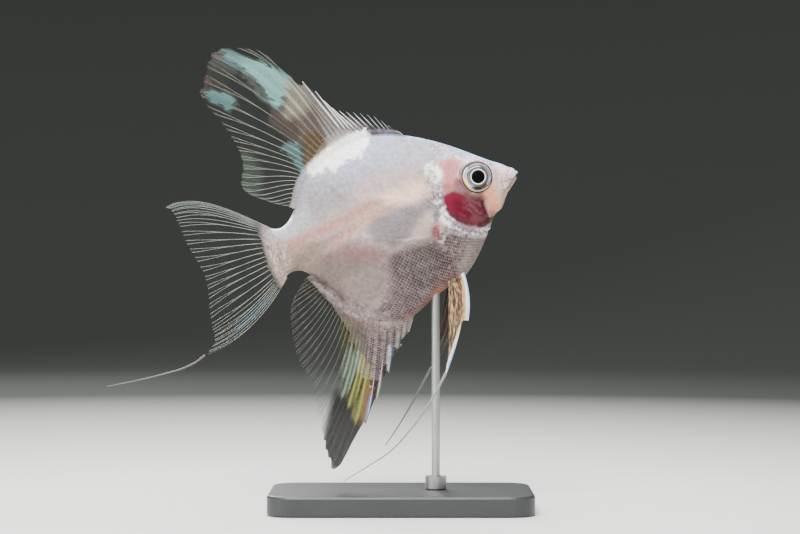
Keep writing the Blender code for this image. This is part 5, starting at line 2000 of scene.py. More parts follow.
    def web(self) -> Shell:
        """The web: two sheets over the same grid, joined all round their rim.

        Returns:
            The closed shell.
        """
        first = self.rays[0][0]
        number = np.linspace(first, self.last(),
                             int((self.last() - first) * self.between) + 1)
        share = np.linspace(0, 1, self.web_rows)[None] * self.reach(number)[:, None]
        share = np.column_stack((np.full(len(number), -self.sink), share))
        number = np.broadcast_to(number[:, None], share.shape)
        flat = self.flat(number, share)
        middle = self.middle(flat, number, share)
        half = self.half_thickness(number, share)
        sheets = [middle + (sign * half)[..., None] * SIDEWAYS for sign in (-1, 1)]
        rows, columns = share.shape
        size = rows * columns
        quads = grid_faces(rows, columns, False)
        rim = grid_rim(rows, columns)
        after = np.roll(rim, -1)
        edge = np.column_stack((after, rim, rim + size, after + size))
        along = share * self.lengths(number)
        paint = self.colours(flat.reshape(-1, 2), along.ravel())
        detail = np.stack((number, share, along), axis=-1)
        return Shell(np.concatenate([sheet.reshape(-1, 3) for sheet in sheets]),
                     [np.concatenate((quads, quads[:, ::-1] + size, edge))],
                     np.tile(paint, (2, 1)), np.tile(detail.reshape(-1, 3), (2, 1))
                     ).outward()

    def ray_tubes(self, number: Array, share: Array, offset: Array,
                  radius: Array, pigment: Pigment) -> Shell:
        """Tubes along rays.

        Args:
            number: (tubes,) ray numbers.
            share: (tubes, steps) shares along each.
            offset: (tubes, steps) drift of each tube from its ray, in ray numbers.
            radius: (tubes, steps) radii.
            pigment: colour of bare bone.

        Returns:
            The tubes, painted.
        """
        shifted = np.clip(number[:, None] + offset, self.rays[0][0], self.last())
        flat = self.flat(shifted, share)
        lines = np.stack((flat[..., 0], self.aside(flat), flat[..., 1]), axis=-1)
        along = share * self.lengths(shifted)
        paint = self.colours(flat.reshape(-1, 2), along.ravel())
        alpha = paint[:, 3:].copy()
        solid = soft_step(SOLID_OPACITY, 0.96, alpha)
        paint[:, :3] = np.minimum(paint[:, :3] * (1 + 1.5 * alpha * (1 - solid)), 0.9)
        cover = self.ray_cover * (1 - 0.45 * alpha) * (1 - 0.5 * solid)
        tint(paint, cover, pigment.rgb)
        paint[:, 3] = np.maximum(paint[:, 3], self.ray_opacity)
        detail = np.stack((shifted, share, along), axis=-1)
        return tube_bundle(lines, radius, paint.reshape(*share.shape, 4), detail)

    def single_rays(self, number: Array, inner: float, radius: Array,
                    pigment: Pigment) -> Shell:
        """Rays that don't fork, each one tapering tube.

        Args:
            number: their ray numbers.
            inner: share along them where they start.
            radius: (rays, steps) radii.
            pigment: colour of bare bone.

        Returns:
            The rays as one shell.
        """
        share = np.tile(np.linspace(0, 1, radius.shape[1]), (len(number), 1))
        share[:, 0] = inner
        return self.ray_tubes(number, share, 0 * share, radius, pigment)

    def spines(self) -> list[Shell]:
        """The single stiff rays, tapering to sharp tips.

        Returns:
            One shell, or none.
        """
        number = np.arange(math.ceil(self.rays[0][0]), self.last_spine + 0.5)
        if not len(number):
            return []
        taper = 1 - self.spine_taper * np.linspace(0, 1, self.ray_steps) ** 1.6
        size = np.clip(self.lengths(number) / self.spine_length, 0.55, 1.3)[:, None]
        return [self.single_rays(number, -self.sink, size * self.spine_radius * taper,
                                 self.spine_pigment)]

    def soft_rays(self) -> list[Shell]:
        """The soft rays: one stem, two branches and four ends, each thinner.

        Returns:
            One shell for each stem, branch and end.
        """
        number = np.arange(max(math.floor(self.last_spine) + 1, 0), self.last() + 0.5)
        made = []
        forks = ((0.0, self.split, (0.0,), 1.0, 0.72),
                 (self.split, self.second_split, (-1.0, 1.0), 0.62, 0.52),
                 (self.second_split, 1.0, (-1.5, -0.6, 0.6, 1.5), 0.44, 0.26))
        for start, stop, drifts, thick, thin in forks:
            t = np.linspace(0, 1, 12)
            share = np.tile(start - 0.01 * (start > 0) + (stop - start) * t,
                            (len(number), 1))
            if start == 0:
                share[:, 0] = -self.sink
            radius = np.tile(self.ray_radius * (thick + (thin - thick) * t),
                             (len(number), 1))
            apart = self.fork * soft_step(self.split, 1.02, share)
            spread = self.end_spread * apart * soft_step(self.second_split, 1, share)
            for drift in drifts:
                side = np.sign(drift)
                made.append(self.ray_tubes(number, share,
                                           side * apart + (drift - side) * spread,
                                           radius, self.ray_pigment))
        return made

    def thin_rays(self) -> list[Shell]:
        """The thin rays that lie between the others and don't fork.

        Returns:
            One shell, or none.
        """
        if not self.extra:
            return []
        taper = self.ray_radius * (0.8 - 0.4 * np.linspace(0, 1, self.ray_steps))
        return [self.single_rays(np.array(self.extra), 0,
                                 np.tile(taper, (len(self.extra), 1)), self.ray_pigment)]

    def bones(self) -> Shell:
        """All the fin's rays as one shell."""
        return Shell.merged(self.spines() + self.soft_rays() + self.thin_rays())


@dataclass
class Streamer:
    """A trailing filament that carries on a ray of a fin."""

    name: str
    points: Rows
    aside: Callable[[Array], Array]
    pigment: Pigment
    node: str
    root_radius: float = 0.36
    tip_radius: float = 0.1
    steps: int = 70
    side_offset: float = 0.0

    def shell(self) -> Shell:
        """A round tube along the smooth path, thinning by the square root's complement.

        Returns:
            The closed shell.
        """
        flat = smooth_path(self.points, self.steps)
        flat[:, 0] += self.side_offset
        line = np.column_stack((flat[:, 0], self.aside(flat), flat[:, 1]))
        t = np.linspace(0, 1, self.steps)
        radius = self.root_radius + (self.tip_radius - self.root_radius) * t ** 0.7
        paint = np.tile(np.append(self.pigment.rgb, 1.0), (self.steps, 1))
        reach = np.r_[0, np.cumsum(np.linalg.norm(np.diff(line, axis=0), axis=1))]
        detail = np.column_stack((np.zeros(self.steps), t, reach))
        return tube_bundle(line[None], radius[None], paint[None], detail[None], 8)


@dataclass
class FinScales:
    """Small scales on both faces of a fin's base, in rows that run out along the rays."""

    fin: Fin
    name: str
    extent: Rows                    # ray number, and how far the scales run out, mm
    sheet: int                      # place of this coat on the unwrap, 0 to 3
    shape: ScaleShape = ScaleShape(1.6, 1.05, 0.02, 0.075, 0.02, 3)
    pitch: float = 0.62
    row_spacing: float = 0.36       # in ray numbers
    # sparkle sets how bright the highlight painted on the rims is
    sparkle: Rows = ((0, 0.5),)     # ray number, and how bright the rims are
    shrinking: float = 0.35         # loss of size at the end of a row
    groove_shadow: float = 0.6      # darkening midway between two rays
    groove_start: Row = (1, 4)      # it starts and is full this far out, mm
    seed: int = 23
    most_steps: int = 45            # scales tried along a row

    def shell(self) -> Shell:
        """The scales: a staggered lattice over ray number and distance along the ray.

        Formula: a scale's point is read from the fin at its row plus the place across,
        and at its distance plus the place back; its height is added to the half
        thickness of the fin.

        Returns:
            The scales of both faces as one shell.
        """
        first, last = self.fin.rays[0][0], self.fin.last()
        number, step = np.meshgrid(
            np.arange(first + 0.2, last - 0.1, self.row_spacing),
            np.arange(-1, self.most_steps), indexing="ij")
        index = np.round((number - first) / self.row_spacing).astype(int)
        number, step = number.ravel(), (step + 0.5 * (index % 2)).ravel()
        limit = np.interp(number, *np.array(self.extent).T)
        thinning = mottle(np.column_stack((number, step)), 1.3, 9)
        keep = step * self.pitch < limit * (0.8 + 0.4 * thinning)
        number, step = number[keep], step[keep]
        glint = np.random.default_rng(self.seed).random(len(number))
        back, across, height, _ = self.shape.grid()
        shrink = 1 - self.shrinking * np.clip(step * self.pitch / limit[keep], 0, 1)[:, None]
        n = np.clip(number[:, None] + across * self.row_spacing * shrink, first, last)
        along = (step[:, None] + back * shrink) * self.pitch
        share = along / self.fin.lengths(n)
        share = np.where(share < 0, along, share)
        flat = self.fin.flat(n, share)
        middle = self.fin.middle(flat, n, share)
        half = self.fin.half_thickness(n, share) + height * shrink
        paint = self.fin.colours(flat.reshape(-1, 2), along.ravel())
        groove = np.sin(np.pi * n) ** 2 * soft_step(*self.groove_start, along)
        paint[:, :3] *= 1 - self.groove_shadow * groove.reshape(-1, 1)
        paint[:, 3] = 1
        shine = np.repeat(np.interp(number, *np.array(self.sparkle).T), len(height))
        sides = []
        for face, sign in enumerate((-1, 1)):
            roots = np.column_stack((
                PANEL_EDGE + PANEL_STEP[0] * face
                + PANEL_SIZE[0] * (number - first) / (last - first),
                PANEL_EDGE + PANEL_STEP[1] * self.sheet
                + PANEL_SIZE[1] * np.clip((step + 1) / (self.most_steps + 1), 0, 1)))
            points = middle + (sign * half)[..., None] * SIDEWAYS
            sides.append(self.shape.coat(points, paint, glint, shine, roots))
        return Shell.merged(sides)


# Finishes ---------------------------------------------------------------------------
class Value:
    """A shader number: an operation on it adds one Math node."""

    def __init__(self, tree: bpy.types.NodeTree, socket: bpy.types.NodeSocket) -> None:
        """Wrap an output socket of a node tree."""
        self.tree = tree
        self.socket = socket

    def math(self, operation: str, first: "Value | float",
             second: "Value | float" = 0.0) -> "Value":
        """Add a Math node and return its result.

        Args:
            operation: the node's operation.
            first: its first entry.
            second: its second entry, if it has one.

        Returns:
            The node's result.
        """
        node = self.tree.nodes.new("ShaderNodeMath")
        node.operation = operation
        for entry, value in zip(node.inputs, (first, second)):
            if isinstance(value, Value):
                self.tree.links.new(value.socket, entry)
            else:
                entry.default_value = value
        return Value(self.tree, node.outputs[0])

    def __add__(self, other: "Value | float") -> "Value":
        """Sum."""
        return self.math("ADD", self, other)

    __radd__ = __add__

    def __sub__(self, other: "Value | float") -> "Value":
        """Difference."""
        return self.math("SUBTRACT", self, other)

    def __rsub__(self, other: "Value | float") -> "Value":
        """Difference, the other way round."""
        return self.math("SUBTRACT", other, self)

    def __mul__(self, other: "Value | float") -> "Value":
        """Product."""
        return self.math("MULTIPLY", self, other)

    __rmul__ = __mul__

    def __truediv__(self, other: "Value | float") -> "Value":
        """Quotient."""
        return self.math("DIVIDE", self, other)

    def __pow__(self, other: "Value | float") -> "Value":
        """Power."""
        return self.math("POWER", self, other)

    def sine(self) -> "Value":
        """Sine."""
        return self.math("SINE", self)

    def clamped(self) -> "Value":
        """Held between 0 and 1."""
        return self.math("MINIMUM", self.math("MAXIMUM", self, 0.0), 1.0)


class Recipe:
    """A Principled material being put together."""

    def __init__(self, name: str, constants: dict[str, float | Row]) -> None:
        """Start a material and set the sockets that are the same all over.

        Args:
            name: the material's name.
            constants: values by socket name.
        """
        self.material = bpy.data.materials.new(name)
        self.material.use_nodes = True
        self.tree = self.material.node_tree
        self.shader = self.tree.nodes["Principled BSDF"]
        for socket, value in constants.items():
            self.shader.inputs[socket].default_value = value

    def node(self, kind: str, settings: dict[str, object] | None = None,
             sockets: dict[str | int, object] | None = None) -> bpy.types.Node:
        """Add any node.

        Args:
            kind: the node's type.
            settings: its own settings; "stops" are a ramp's (place, colour) pairs.
            sockets: values, or sockets and Values to link, by input.

        Returns:
            The node.
        """
        node = self.tree.nodes.new(kind)
        for key, value in (settings or {}).items():
            if key == "stops":
                self._set_stops(node.color_ramp.elements, value)
            else:
                setattr(node, key, value)
        for key, value in (sockets or {}).items():
            self.link(node.inputs[key], value)
        return node

    @staticmethod
    def _set_stops(elements: bpy.types.ColorRampElements,
                   stops: Sequence[tuple[float, Row]]) -> None:
        """Give a ramp its stops.

        Args:
            elements: the ramp's own stops.
            stops: (place, colour) pairs.
        """
        while len(elements) < len(stops):
            elements.new(1.0)
        for element, (place, colour) in zip(elements, stops):
            element.position = place
            element.color = (*colour, 1.0)

    def link(self, entry: bpy.types.NodeSocket, value: object) -> None:
        """Feed an input from a Value or a socket, or set it.

        Args:
            entry: the input.
            value: what it gets.
        """
        if isinstance(value, Value):
            self.tree.links.new(value.socket, entry)
        elif isinstance(value, bpy.types.NodeSocket):
            self.tree.links.new(value, entry)
        else:
            entry.default_value = value

    def value(self, socket: bpy.types.NodeSocket) -> Value:
        """Wrap a socket for sums."""
        return Value(self.tree, socket)

    def place(self) -> bpy.types.NodeSocket:
        """Object coordinates, in metres."""
        return self.node("ShaderNodeTexCoord").outputs["Object"]

    def noise(self, size: float, detail: float = 3.0, stretch: Row = (1, 1, 1)) -> Value:
        """Smooth noise from 0 to 1 with features of a size in millimetres.

        Args:
            size: width of a feature, mm.
            detail: layers of finer noise.
            stretch: scale along each axis.

        Returns:
            The noise.
        """
        mapped = self.node("ShaderNodeMapping", None,
                           {"Vector": self.place(), "Scale": stretch})
        made = self.node("ShaderNodeTexNoise", None,
                         {"Vector": mapped.outputs[0], "Scale": 1 / (size * MILLIMETRE),
                          "Detail": detail})
        return self.value(made.outputs["Fac"])

    def cells(self, size: float) -> Value:
        """Distance to the nearest of many scattered points, a size in mm apart.

        Args:
            size: distance between points, mm.

        Returns:
            The distance, in sizes.
        """
        made = self.node("ShaderNodeTexVoronoi", None,
                         {"Vector": self.place(), "Scale": 1 / (size * MILLIMETRE)})
        return self.value(made.outputs["Distance"])

    def attribute(self, name: str) -> bpy.types.Node:
        """A named value kept on the mesh."""
        return self.node("ShaderNodeAttribute", {"attribute_name": name})

    def detail(self) -> tuple[Value, Value, Value]:
        """The three detail values kept on the mesh.

        Returns:
            The three, in the mesh's order.
        """
        parts = self.node("ShaderNodeSeparateXYZ", None,
                          {0: self.attribute("detail").outputs["Vector"]})
        return tuple(self.value(output) for output in parts.outputs)

    def blend(self, factor: object, under: object, over: object,
              mode: str = "MIX") -> bpy.types.NodeSocket:
        """Mix two colours.

        Args:
            factor: share of the second.
            under: first colour.
            over: second colour.
            mode: how they are mixed.

        Returns:
            The mixed colour's socket.
        """
        mixed = self.node("ShaderNodeMix", {"data_type": "RGBA", "blend_type": mode})
        self.link(mixed.inputs[0], factor)
        self.link(mixed.inputs[6], self._colour(under))
        self.link(mixed.inputs[7], self._colour(over))
        return mixed.outputs[2]

    @staticmethod
    def _colour(value: object) -> object:
        """A colour with its fourth value, or the socket as it is."""
        return (*value, 1.0) if isinstance(value, tuple) and len(value) == 3 else value

    def shaded(self, colour: object, brightness: Value) -> bpy.types.NodeSocket:
        """A colour times a brightness.

        Args:
            colour: a colour or its socket.
            brightness: what it is multiplied by.

        Returns:
            The shaded colour's socket.
        """
        grey = self.node("ShaderNodeCombineColor", None,
                         {0: brightness, 1: brightness, 2: brightness})
        return self.blend(1.0, colour, grey.outputs[0], "MULTIPLY")

    def bump(self, height: Value, millimetres: float, strength: float = 1.0) -> None:
        """Feed the shader's normal from a height.

        Args:
            height: the height, from 0 to about 1.
            millimetres: size of a height of 1.
            strength: share of the effect.
        """
        made = self.node("ShaderNodeBump", None,
                         {"Height": height, "Distance": millimetres * MILLIMETRE,
                          "Strength": strength})
        self.tree.links.new(made.outputs[0], self.shader.inputs["Normal"])

    def feed(self, **varying: object) -> bpy.types.Material:
        """Link what changes over the surface, by socket name with _ for a space.

        Args:
            varying: values and sockets to link.

        Returns:
            The finished material.
        """
        for key, value in varying.items():
            self.link(self.shader.inputs[key.replace("_", " ")], value)
        return self.material


@dataclass(frozen=True)
class SkinFinish:
    """Wet, pearly skin: the painted markings with fine silver dust and a soft bump."""

    name: str = "pearly_skin_wet"
    dust: float = 0.55              # size of the dust, mm
    mottling: float = 2.4

    def make(self) -> bpy.types.Material:
        """Build the material.

        Returns:
            The material.
        """
        recipe = Recipe(self.name, {
            "IOR": 1.32, "Coat Roughness": 0.30, "Subsurface Weight": 0.08,
            "Subsurface Scale": 0.0012, "Subsurface Radius": (1.0, 0.45, 0.35)})
        markings = recipe.attribute("markings").outputs["Color"]
        dust = recipe.noise(self.dust, 4)
        mottling = recipe.noise(self.mottling, 2)
        flecks = recipe.cells(0.35)
        bright = 0.68 + dust * 0.46 + mottling * 0.14 + (0.5 - flecks) * 0.08
        recipe.bump(dust * 0.7 + flecks * 0.3, 0.05, 0.5)
        return recipe.feed(Base_Color=recipe.shaded(markings, bright),
                           Roughness=0.44 + 0.22 * dust,
                           Metallic=0.05 + 0.08 * mottling,
                           Coat_Weight=0.02 + 0.12 * mottling)


@dataclass(frozen=True)
class ScaleFinish:
    """Scales: the skin's markings, with painted shade in the middle and a pale rim, where the
    guanine's sparkle is painted in as a highlight.
    """

    name: str = "guanine_scales"
    # The pale colour and strength of the highlight painted on the scales' rims
    rim_highlight_colour: Row = (0.50, 0.42, 0.40)
    rim_highlight_strength: float = 0.38
    shadow: float = 0.45            # darkening of a scale's middle where they sparkle

    def make(self) -> bpy.types.Material:
        """Build the material; detail holds edge nearness, a random glint and sparkle.

        Returns:
            The material.
        """
        recipe = Recipe(self.name, {
            "IOR": 1.40, "Coat Roughness": 0.22, "Thin Film Thickness": 320.0,
            "Thin Film IOR": 1.34})
        markings = recipe.attribute("markings").outputs["Color"]
        edge, glint, sparkle = recipe.detail()
        dust = recipe.noise(0.35, 3)
        growth = recipe.noise(0.12, 2)
        grain = 0.78 + 0.3 * glint + 0.2 * dust
        body = (1 - self.shadow * sparkle * (1 - edge)) * grain
        shaded = recipe.shaded(markings, body)
        patchy = recipe.noise(3.0, 3)
        # Painted highlight: the rim lightened towards the pale colour where the scales sparkle
        rim = (edge * sparkle * (0.3 + 0.6 * glint) * (0.3 + 1.4 * patchy)
               * self.rim_highlight_strength).clamped()
        colour = recipe.blend(rim, shaded, self.rim_highlight_colour)
        recipe.bump(dust * 0.6 + growth * 0.4, 0.03, 0.4)
        return recipe.feed(Base_Color=colour,
                           Roughness=0.50 - 0.18 * edge * sparkle + 0.12 * dust,
                           Metallic=0.04 + 0.12 * sparkle * glint,
                           Coat_Weight=0.06 + 0.22 * glint * sparkle)


@dataclass(frozen=True)
class WebFinish:
    """Fin web: thin, clear where it has no pigment, with fine lines along the rays."""

    name: str = "fin_web_clear"
    gap_shadow: float = 0.68        # darkening midway between two rays

    def make(self) -> bpy.types.Material:
        """Build the material; detail holds ray number, share along and millimetres.

        Returns:
            The material.
        """
        recipe = Recipe(self.name, {"IOR": 1.34, "Coat Weight": 0.06,
                                    "Coat Roughness": 0.25})
        paint = recipe.attribute("markings")
        number = recipe.detail()[0]
        fine = recipe.noise(0.6, 3)
        lines = (number * (2 * math.pi * 5) + fine * 3).sine() * 0.5 + 0.5
        alpha = recipe.value(paint.outputs["Alpha"])
        ridge = ((number * math.pi + math.pi / 2).sine() ** 2.0) ** 3.0
        solid = ((alpha - SOLID_OPACITY) * 12).clamped()
        shade = 1 - self.gap_shadow * (1 - ridge) * (1 - solid)
        opacity = alpha * (0.72 + 0.3 * fine + 0.16 * lines)
        recipe.bump(lines * 0.6 + fine * 0.4, 0.04, 0.5)
        return recipe.feed(
            Base_Color=recipe.shaded(paint.outputs["Color"],
                                     (0.74 + 0.3 * fine + 0.16 * lines) * shade),
            Roughness=0.4 + 0.2 * fine, Alpha=opacity.clamped())


@dataclass(frozen=True)
class RayFinish:
    """Fin rays: pale bone with fine darker joints along each ray."""

    name: str = "fin_ray_bone"
    joint: float = 0.55             # from one joint to the next, mm

    def make(self) -> bpy.types.Material:
        """Build the material; detail's third value is millimetres along the ray.

        Returns:
            The material.
        """
        recipe = Recipe(self.name, {"IOR": 1.36, "Coat Weight": 0.1,
                                    "Coat Roughness": 0.25})
        paint = recipe.attribute("markings")
        along = recipe.detail()[2]
        joints = ((along * (2 * math.pi / self.joint)).sine() * 0.5 + 0.5) ** 3.0
        fine = recipe.noise(0.4, 3)
        recipe.bump(joints * -0.5 + fine * 0.5, 0.03, 0.5)
        return recipe.feed(Base_Color=recipe.shaded(paint.outputs["Color"],
                                                    0.98 - 0.16 * joints + 0.1 * fine),
                           Roughness=0.38 + 0.18 * fine,
                           Alpha=recipe.value(paint.outputs["Alpha"]))


@dataclass(frozen=True)
class EyeFinish:
    """The eye: painted iris under a glossy coat, its silver faintly streaked."""

    name: str = "eye_glossy"

    def make(self) -> bpy.types.Material:
        """Build the material.

        Returns:
            The material.
        """
        recipe = Recipe(self.name, {"IOR": 1.13, "Coat Weight": 0.05,
                                    "Coat Roughness": 0.1, "Coat IOR": 1.33})
        colour = recipe.attribute("markings").outputs["Color"]
        streak = recipe.noise(0.22, 4)
        return recipe.feed(Base_Color=recipe.shaded(colour, 0.7 + 0.6 * streak),
                           Roughness=0.4 + 0.2 * streak)


@dataclass(frozen=True)
class PaintFinish:
    """Satin black paint on the stand's base, with a fine stipple."""

    name: str = "stand_satin_black"
    colour: Row = (0.030, 0.031, 0.033)

    def make(self) -> bpy.types.Material:
        """Build the material.

        Returns:
            The material.
        """
        recipe = Recipe(self.name, {"IOR": 1.5, "Coat Weight": 0.15,
                                    "Coat Roughness": 0.3})
        stipple = recipe.noise(0.45, 2)
        cloud = recipe.noise(9.0, 3)
        recipe.bump(stipple, 0.03, 0.35)
        return recipe.feed(
            Base_Color=recipe.shaded(self.colour, 0.85 + 0.35 * cloud),
            Roughness=0.36 + 0.16 * cloud + 0.06 * stipple)


@dataclass(frozen=True)
class SteelFinish:
    """Turned steel: fine rings of brushing round the rod and the collar."""

    name: str = "stand_turned_steel"
    colour: Row = (0.58, 0.58, 0.57)

    def make(self) -> bpy.types.Material:
        """Build the material.

        Returns:
            The material.
        """
        recipe = Recipe(self.name, {"IOR": 2.5})
        rings = recipe.noise(0.12, 3, (0.08, 0.08, 1.0))
        cloud = recipe.noise(4.0, 2)
        recipe.bump(rings, 0.012, 0.4)
        return recipe.feed(
            Base_Color=recipe.shaded(self.colour, 0.82 + 0.28 * rings),
            Roughness=0.24 + 0.18 * rings + 0.1 * cloud,
            Metallic=0.96 + 0.04 * cloud)


@dataclass(frozen=True)
class StudioFinish:
    """Matt studio paper with a painted fall-off of light: pale in a pool round the stand,
    darkening outwards to the wall's dark grey.
    """

    name: str = "studio_paper_painted_falloff"
    floor: Row = (0.62, 0.62, 0.60)
    wall: Row = (0.055, 0.06, 0.055)
    # the painted pool of light ends at the first radius, and its fall-off is full at the second
    light_pool_radius: float = 0.10       # metres from the middle
    light_falloff_radius: float = 0.50

    def make(self) -> bpy.types.Material:
        """Build the material: pale to grey by a ramp of the distance from the middle, a painted
        fall-off of light.

        Returns:
            The material.
        """
        recipe = Recipe(self.name, {"Roughness": 0.9, "Specular IOR Level": 0.1})
        length = recipe.node("ShaderNodeVectorMath", {"operation": "LENGTH"},
                             {0: recipe.place()})
        distance = recipe.value(length.outputs["Value"])
        share = ((distance - self.light_pool_radius)
                 / (self.light_falloff_radius - self.light_pool_radius)).clamped()
        ramp = recipe.node("ShaderNodeValToRGB", {
            "stops": ((0.0, self.floor), (1.0, self.wall))}, {0: share})
        return recipe.feed(Base_Color=ramp.outputs[0])


# Studio -----------------------------------------------------------------------------
@dataclass
class Studio:
    """A round paper sweep, soft lights and the camera."""

    fish: FishFrame
    floor_radius: float = 0.75
    bend: float = 0.35
    wall_top: float = 1.1
    around: int = 96                # points round the sweep
    floor_rings: int = 12
    bend_rings: int = 16
    view_middle: Row = (28.27, -3.9)   # centre of the view from the fish's zero, level mm
    camera_distance: float = 0.5417
    lens: float = 100.0
    sensor: float = 36.0
    # name, place from the view's centre in metres, width of the square, watts
    lights: tuple[tuple[str, Row, float, float], ...] = (
        ("key_light", (-0.10, -0.44, 0.48), 0.36, 11.0),
        ("top_light", (-0.02, 0.06, 0.62), 0.50, 8.5),
        ("fill_left", (-0.60, -0.35, 0.10), 0.40, 1.4),
        ("back_light", (-0.25, 0.55, 0.35), 0.40, 5.0),
    )
    sky: Row = (0.9, 0.95, 1.0)
    sky_strength: float = 0.22

    def sweep(self) -> None:
        """Floor, bend and wall: a profile turned about the upright axis.

        Formula: straight along the floor, a quarter circle up, straight up the wall.
        """
        turn = np.linspace(0, math.pi / 2, self.bend_rings)[1:]
        out = np.r_[np.linspace(0.001, self.floor_radius, self.floor_rings),
                    self.floor_radius + self.bend * np.sin(turn),
                    self.floor_radius + self.bend]
        up = np.r_[np.zeros(self.floor_rings), self.bend * (1 - np.cos(turn)),
                   self.wall_top]
        around = np.linspace(0, 2 * math.pi, self.around, endpoint=False)
        points = np.stack((out[:, None] * np.cos(around), out[:, None] * np.sin(around),
                           np.broadcast_to(up[:, None], (len(out), self.around))),
                          axis=-1).reshape(-1, 3)
        faces = grid_faces(len(out), self.around, True).tolist()
        mesh = bpy.data.meshes.new("studio_sweep")
        mesh.from_pydata(points.tolist(), [], faces + [list(range(self.around))[::-1]])
        mesh.shade_smooth()
        mesh.materials.append(StudioFinish().make())
        in_scene("studio_sweep", mesh)

    def target(self) -> Array:
        """Row-frame point at the centre of the view."""
        shift = np.array((self.view_middle[0], 0, self.view_middle[1]))
        return self.fish.origin() + shift * MILLIMETRE

    def light(self, name: str, place: Row, size: float, watts: float) -> None:
        """One soft square light aimed at the fish.

        Args:
            name: the light's name.
            place: where it hangs, from the view's centre, metres.
            size: width of its square.
            watts: its power.
        """
        lamp = bpy.data.lights.new(name, "AREA")
        lamp.size = size
        lamp.energy = watts
        holder = in_scene(name, lamp)
        aim = self.target()
        holder.location = aim + np.array(place)
        direction = holder.location.copy()
        direction.negate()
        direction += type(direction)(aim)
        holder.rotation_euler = direction.to_track_quat("-Z", "Y").to_euler()

    def light_all(self) -> None:
        """Key from the upper front, a top light, a fill, a rim light and a dim sky."""
        for name, place, size, watts in self.lights:
            self.light(name, place, size, watts)
        world = bpy.data.worlds.new("studio_world")
        world.use_nodes = True
        back = world.node_tree.nodes["Background"]
        back.inputs["Color"].default_value = (*self.sky, 1)
        back.inputs["Strength"].default_value = self.sky_strength
        bpy.context.scene.world = world

    def camera(self) -> None:
        """A level camera square to the fish's side."""
        view = bpy.data.cameras.new("view_camera")
        view.lens = self.lens
        view.sensor_width = self.sensor
        view.clip_start = 0.01
        holder = in_scene("view_camera", view)
        holder.location = self.target() - np.array((0, self.camera_distance, 0))
        holder.rotation_euler = (math.pi / 2, 0, 0)
        bpy.context.scene.camera = holder

    def build(self) -> None:
        """Make the whole studio."""
        self.sweep()
        self.light_all()
        self.camera()


# Assembly ---------------------------------------------------------------------------
@dataclass(frozen=True)
class Stand:
    """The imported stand, kept as it is and given its finishes."""

    painted: tuple[str, ...] = ("stand_base",)
    turned: tuple[str, ...] = ("stand_collar", "stand_rod")

    def dress(self) -> None:
        """Give each stand node its finish through its material slot."""
        for nodes, finish in ((self.painted, PaintFinish()), (self.turned, SteelFinish())):
            material = finish.make()
            for node in nodes:
                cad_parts[node].material_slots[0].material = material
                log.info("%s: dressed", node)


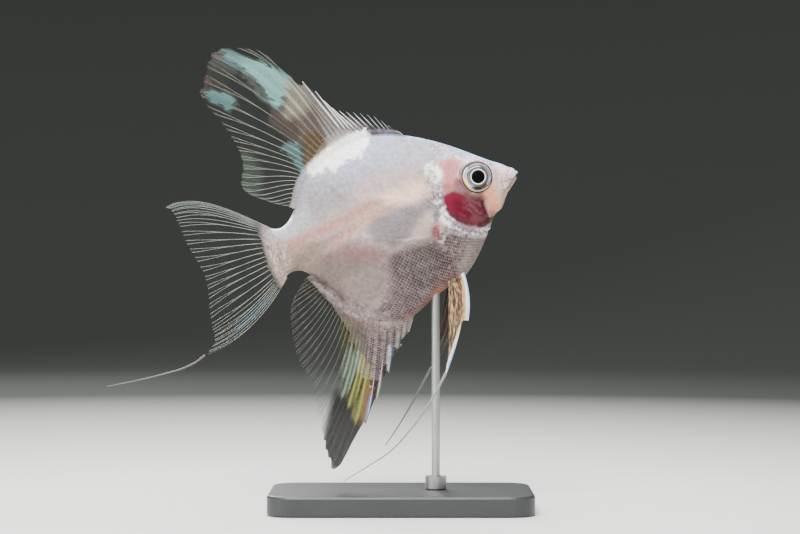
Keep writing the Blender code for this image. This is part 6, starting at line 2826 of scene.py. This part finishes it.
@dataclass
class Angelfish:
    """The whole fish: skin and scales, eyes, fins and streamers."""

    fish: FishFrame
    form: BodyForm = field(default_factory=BodyForm)

    def body(self) -> None:
        """Skin and both sides' scales."""
        flank = FlankMap(self.form)
        skin = Skin(self.form, flank).shell().build(
            "skin", self.fish, SkinFinish().make(), "pearly_skin")
        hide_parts("head", "lower_jaw", "gill_cover_left", "gill_cover_right",
                    "trunk", "tail_stalk")
        coat = ScaleCoat(self.form, flank)
        finish = ScaleFinish().make()
        for label, side in SIDES:
            coat.shell(side).build("scales_" + label, self.fish, finish, "pearly_skin")

    def eyes(self) -> None:
        """Both eyes."""
        finish = EyeFinish().make()
        for label, side in SIDES:
            eye = Eye(side).shell().build("eyeball_" + label, self.fish, finish, "eye")
            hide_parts("eye_" + label)

    def fins(self) -> list[Fin]:
        """All the fins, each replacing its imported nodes.

        Returns:
            The fins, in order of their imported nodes.
        """
        tall = dict(root_half=0.4, sink=1.5, fillet=0.3, run_on=1.8)
        dorsal = Fin("dorsal_fin", rooted(DORSAL_RAYS, BACK, 0.2), tall_sway,
                     DORSAL_PAINTING, ("dorsal_fin_spiny", "dorsal_fin_soft"),
                     last_spine=12, jagged=16, spine_radius=0.24, ray_radius=0.085, **tall)
        anal = Fin("anal_fin", rooted(ANAL_RAYS, BELLY, -0.2), tall_sway, ANAL_PAINTING,
                   ("anal_fin_spiny", "anal_fin_soft"), Pigment.RAY_DUN, last_spine=5,
                   jagged=6, ray_radius=0.085, ray_opacity=0.75, **tall)
        tail = Fin("tail_fin", TAIL_RAYS, tail_sway, TAIL_PAINTING, ("tail_fin",),
                   side_offset=-0.3, sink=1.4, split=0.4, second_split=0.72, end_spread=0.2,
                   extra=(0.3, 0.6, 1.35, 1.7, 2.5, 14.5, 15.3, 15.65, 16.3, 16.65),
                   run_on=1.6)
        near = Fin("pelvic_fin_right", PELVIC_RAYS, pelvic_splay(-1), PELVIC_PAINTING,
                   ("pelvic_fin_right",), Pigment.SPINE_IVORY, Pigment.FRINGE_BLUE,
                   last_spine=0, jagged=1, sink=0.9, ray_cover=0.2, spine_radius=0.16)
        far = Fin("pelvic_fin_left", swing(PELVIC_RAYS, FAR_PELVIC_SWING),
                  pelvic_splay(1), FAR_PELVIC_PAINTING, ("pelvic_fin_left",),
                  Pigment.RAY_DUN, Pigment.RAY_DUN, last_spine=0, jagged=1, sink=0.9)
        pectorals = [Fin("pectoral_fin_" + label, PECTORAL_RAYS, pectoral_flare(side),
                         PECTORAL_PAINTING, ("pectoral_fin_" + label,),
                         ray_radius=0.07, root_half=0.12, sink=0.5, ray_opacity=0.2)
                     for label, side in SIDES]
        return [dorsal, anal, tail, near, far, *pectorals]

    def fin_pieces(self) -> None:
        """Webs and rays of every fin, and the scales on the tall fins' and tail's base."""
        web, bone = WebFinish().make(), RayFinish().make()
        fins = self.fins()
        for fin in fins:
            sheet = fin.web().build(fin.name + "_web", self.fish, web, "fin_web")
            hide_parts(*fin.nodes)
            fin.bones().build(fin.name + "_rays", self.fish, bone, "fin_web")
        coats = (FinScales(fins[0], "dorsal_fin_scales",
                           ((0, 0.6), (9, 1), (12.5, 3.6), (16, 3), (20, 1.6), (35, 0.8)),
                           0, sparkle=((0, 0.15),)),
                 FinScales(fins[1], "anal_fin_scales",
                           ((0, 2.5), (3, 8), (5, 15), (8, 12), (11, 6), (14, 3),
                            (18, 1.2), (30, 0.6)),
                           1, sparkle=((0, 0.7), (6, 0.7), (10, 0.28))),
                 FinScales(fins[2], "tail_fin_scales", ((0, 1.8), (8.5, 1.2), (17, 1.8)), 2,
                           pitch=0.5, sparkle=((0, 0.4),)))
        finish = ScaleFinish("fin_base_scales", rim_highlight_strength=0.6).make()
        for coat in coats:
            coat.shell().build(coat.name, self.fish, finish, "pearly_skin")

    def streamers(self) -> None:
        """The three trailing filaments."""
        bone = RayFinish("streamer_bone").make()
        for streamer in (
                Streamer("tail_filament", TAIL_STREAMER, tail_sway, Pigment.RAY_DUN,
                         "tail_streamer", 0.26, 0.09, side_offset=-0.3),
                Streamer("pelvic_filament_right", RIGHT_STREAMER, pelvic_splay(-1),
                         Pigment.RAY_WHITE, "pelvic_streamer_right"),
                Streamer("pelvic_filament_left", LEFT_STREAMER, pelvic_splay(1),
                         Pigment.RAY_DUN, "pelvic_streamer_left")):
            piece = streamer.shell().build(streamer.name, self.fish, bone, "fin_web")
            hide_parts(streamer.node)

    def build(self) -> None:
        """Make every piece of the fish."""
        self.body()
        self.eyes()
        self.fin_pieces()
        self.streamers()


def main() -> None:
    """Build the fish, dress its stand and light them."""
    logging.basicConfig(level=logging.INFO, format="%(name)s %(message)s")
    fish = FishFrame()
    Studio(fish).build()
    Stand().dress()
    Angelfish(fish).build()


if __name__ == "__main__":
    main()
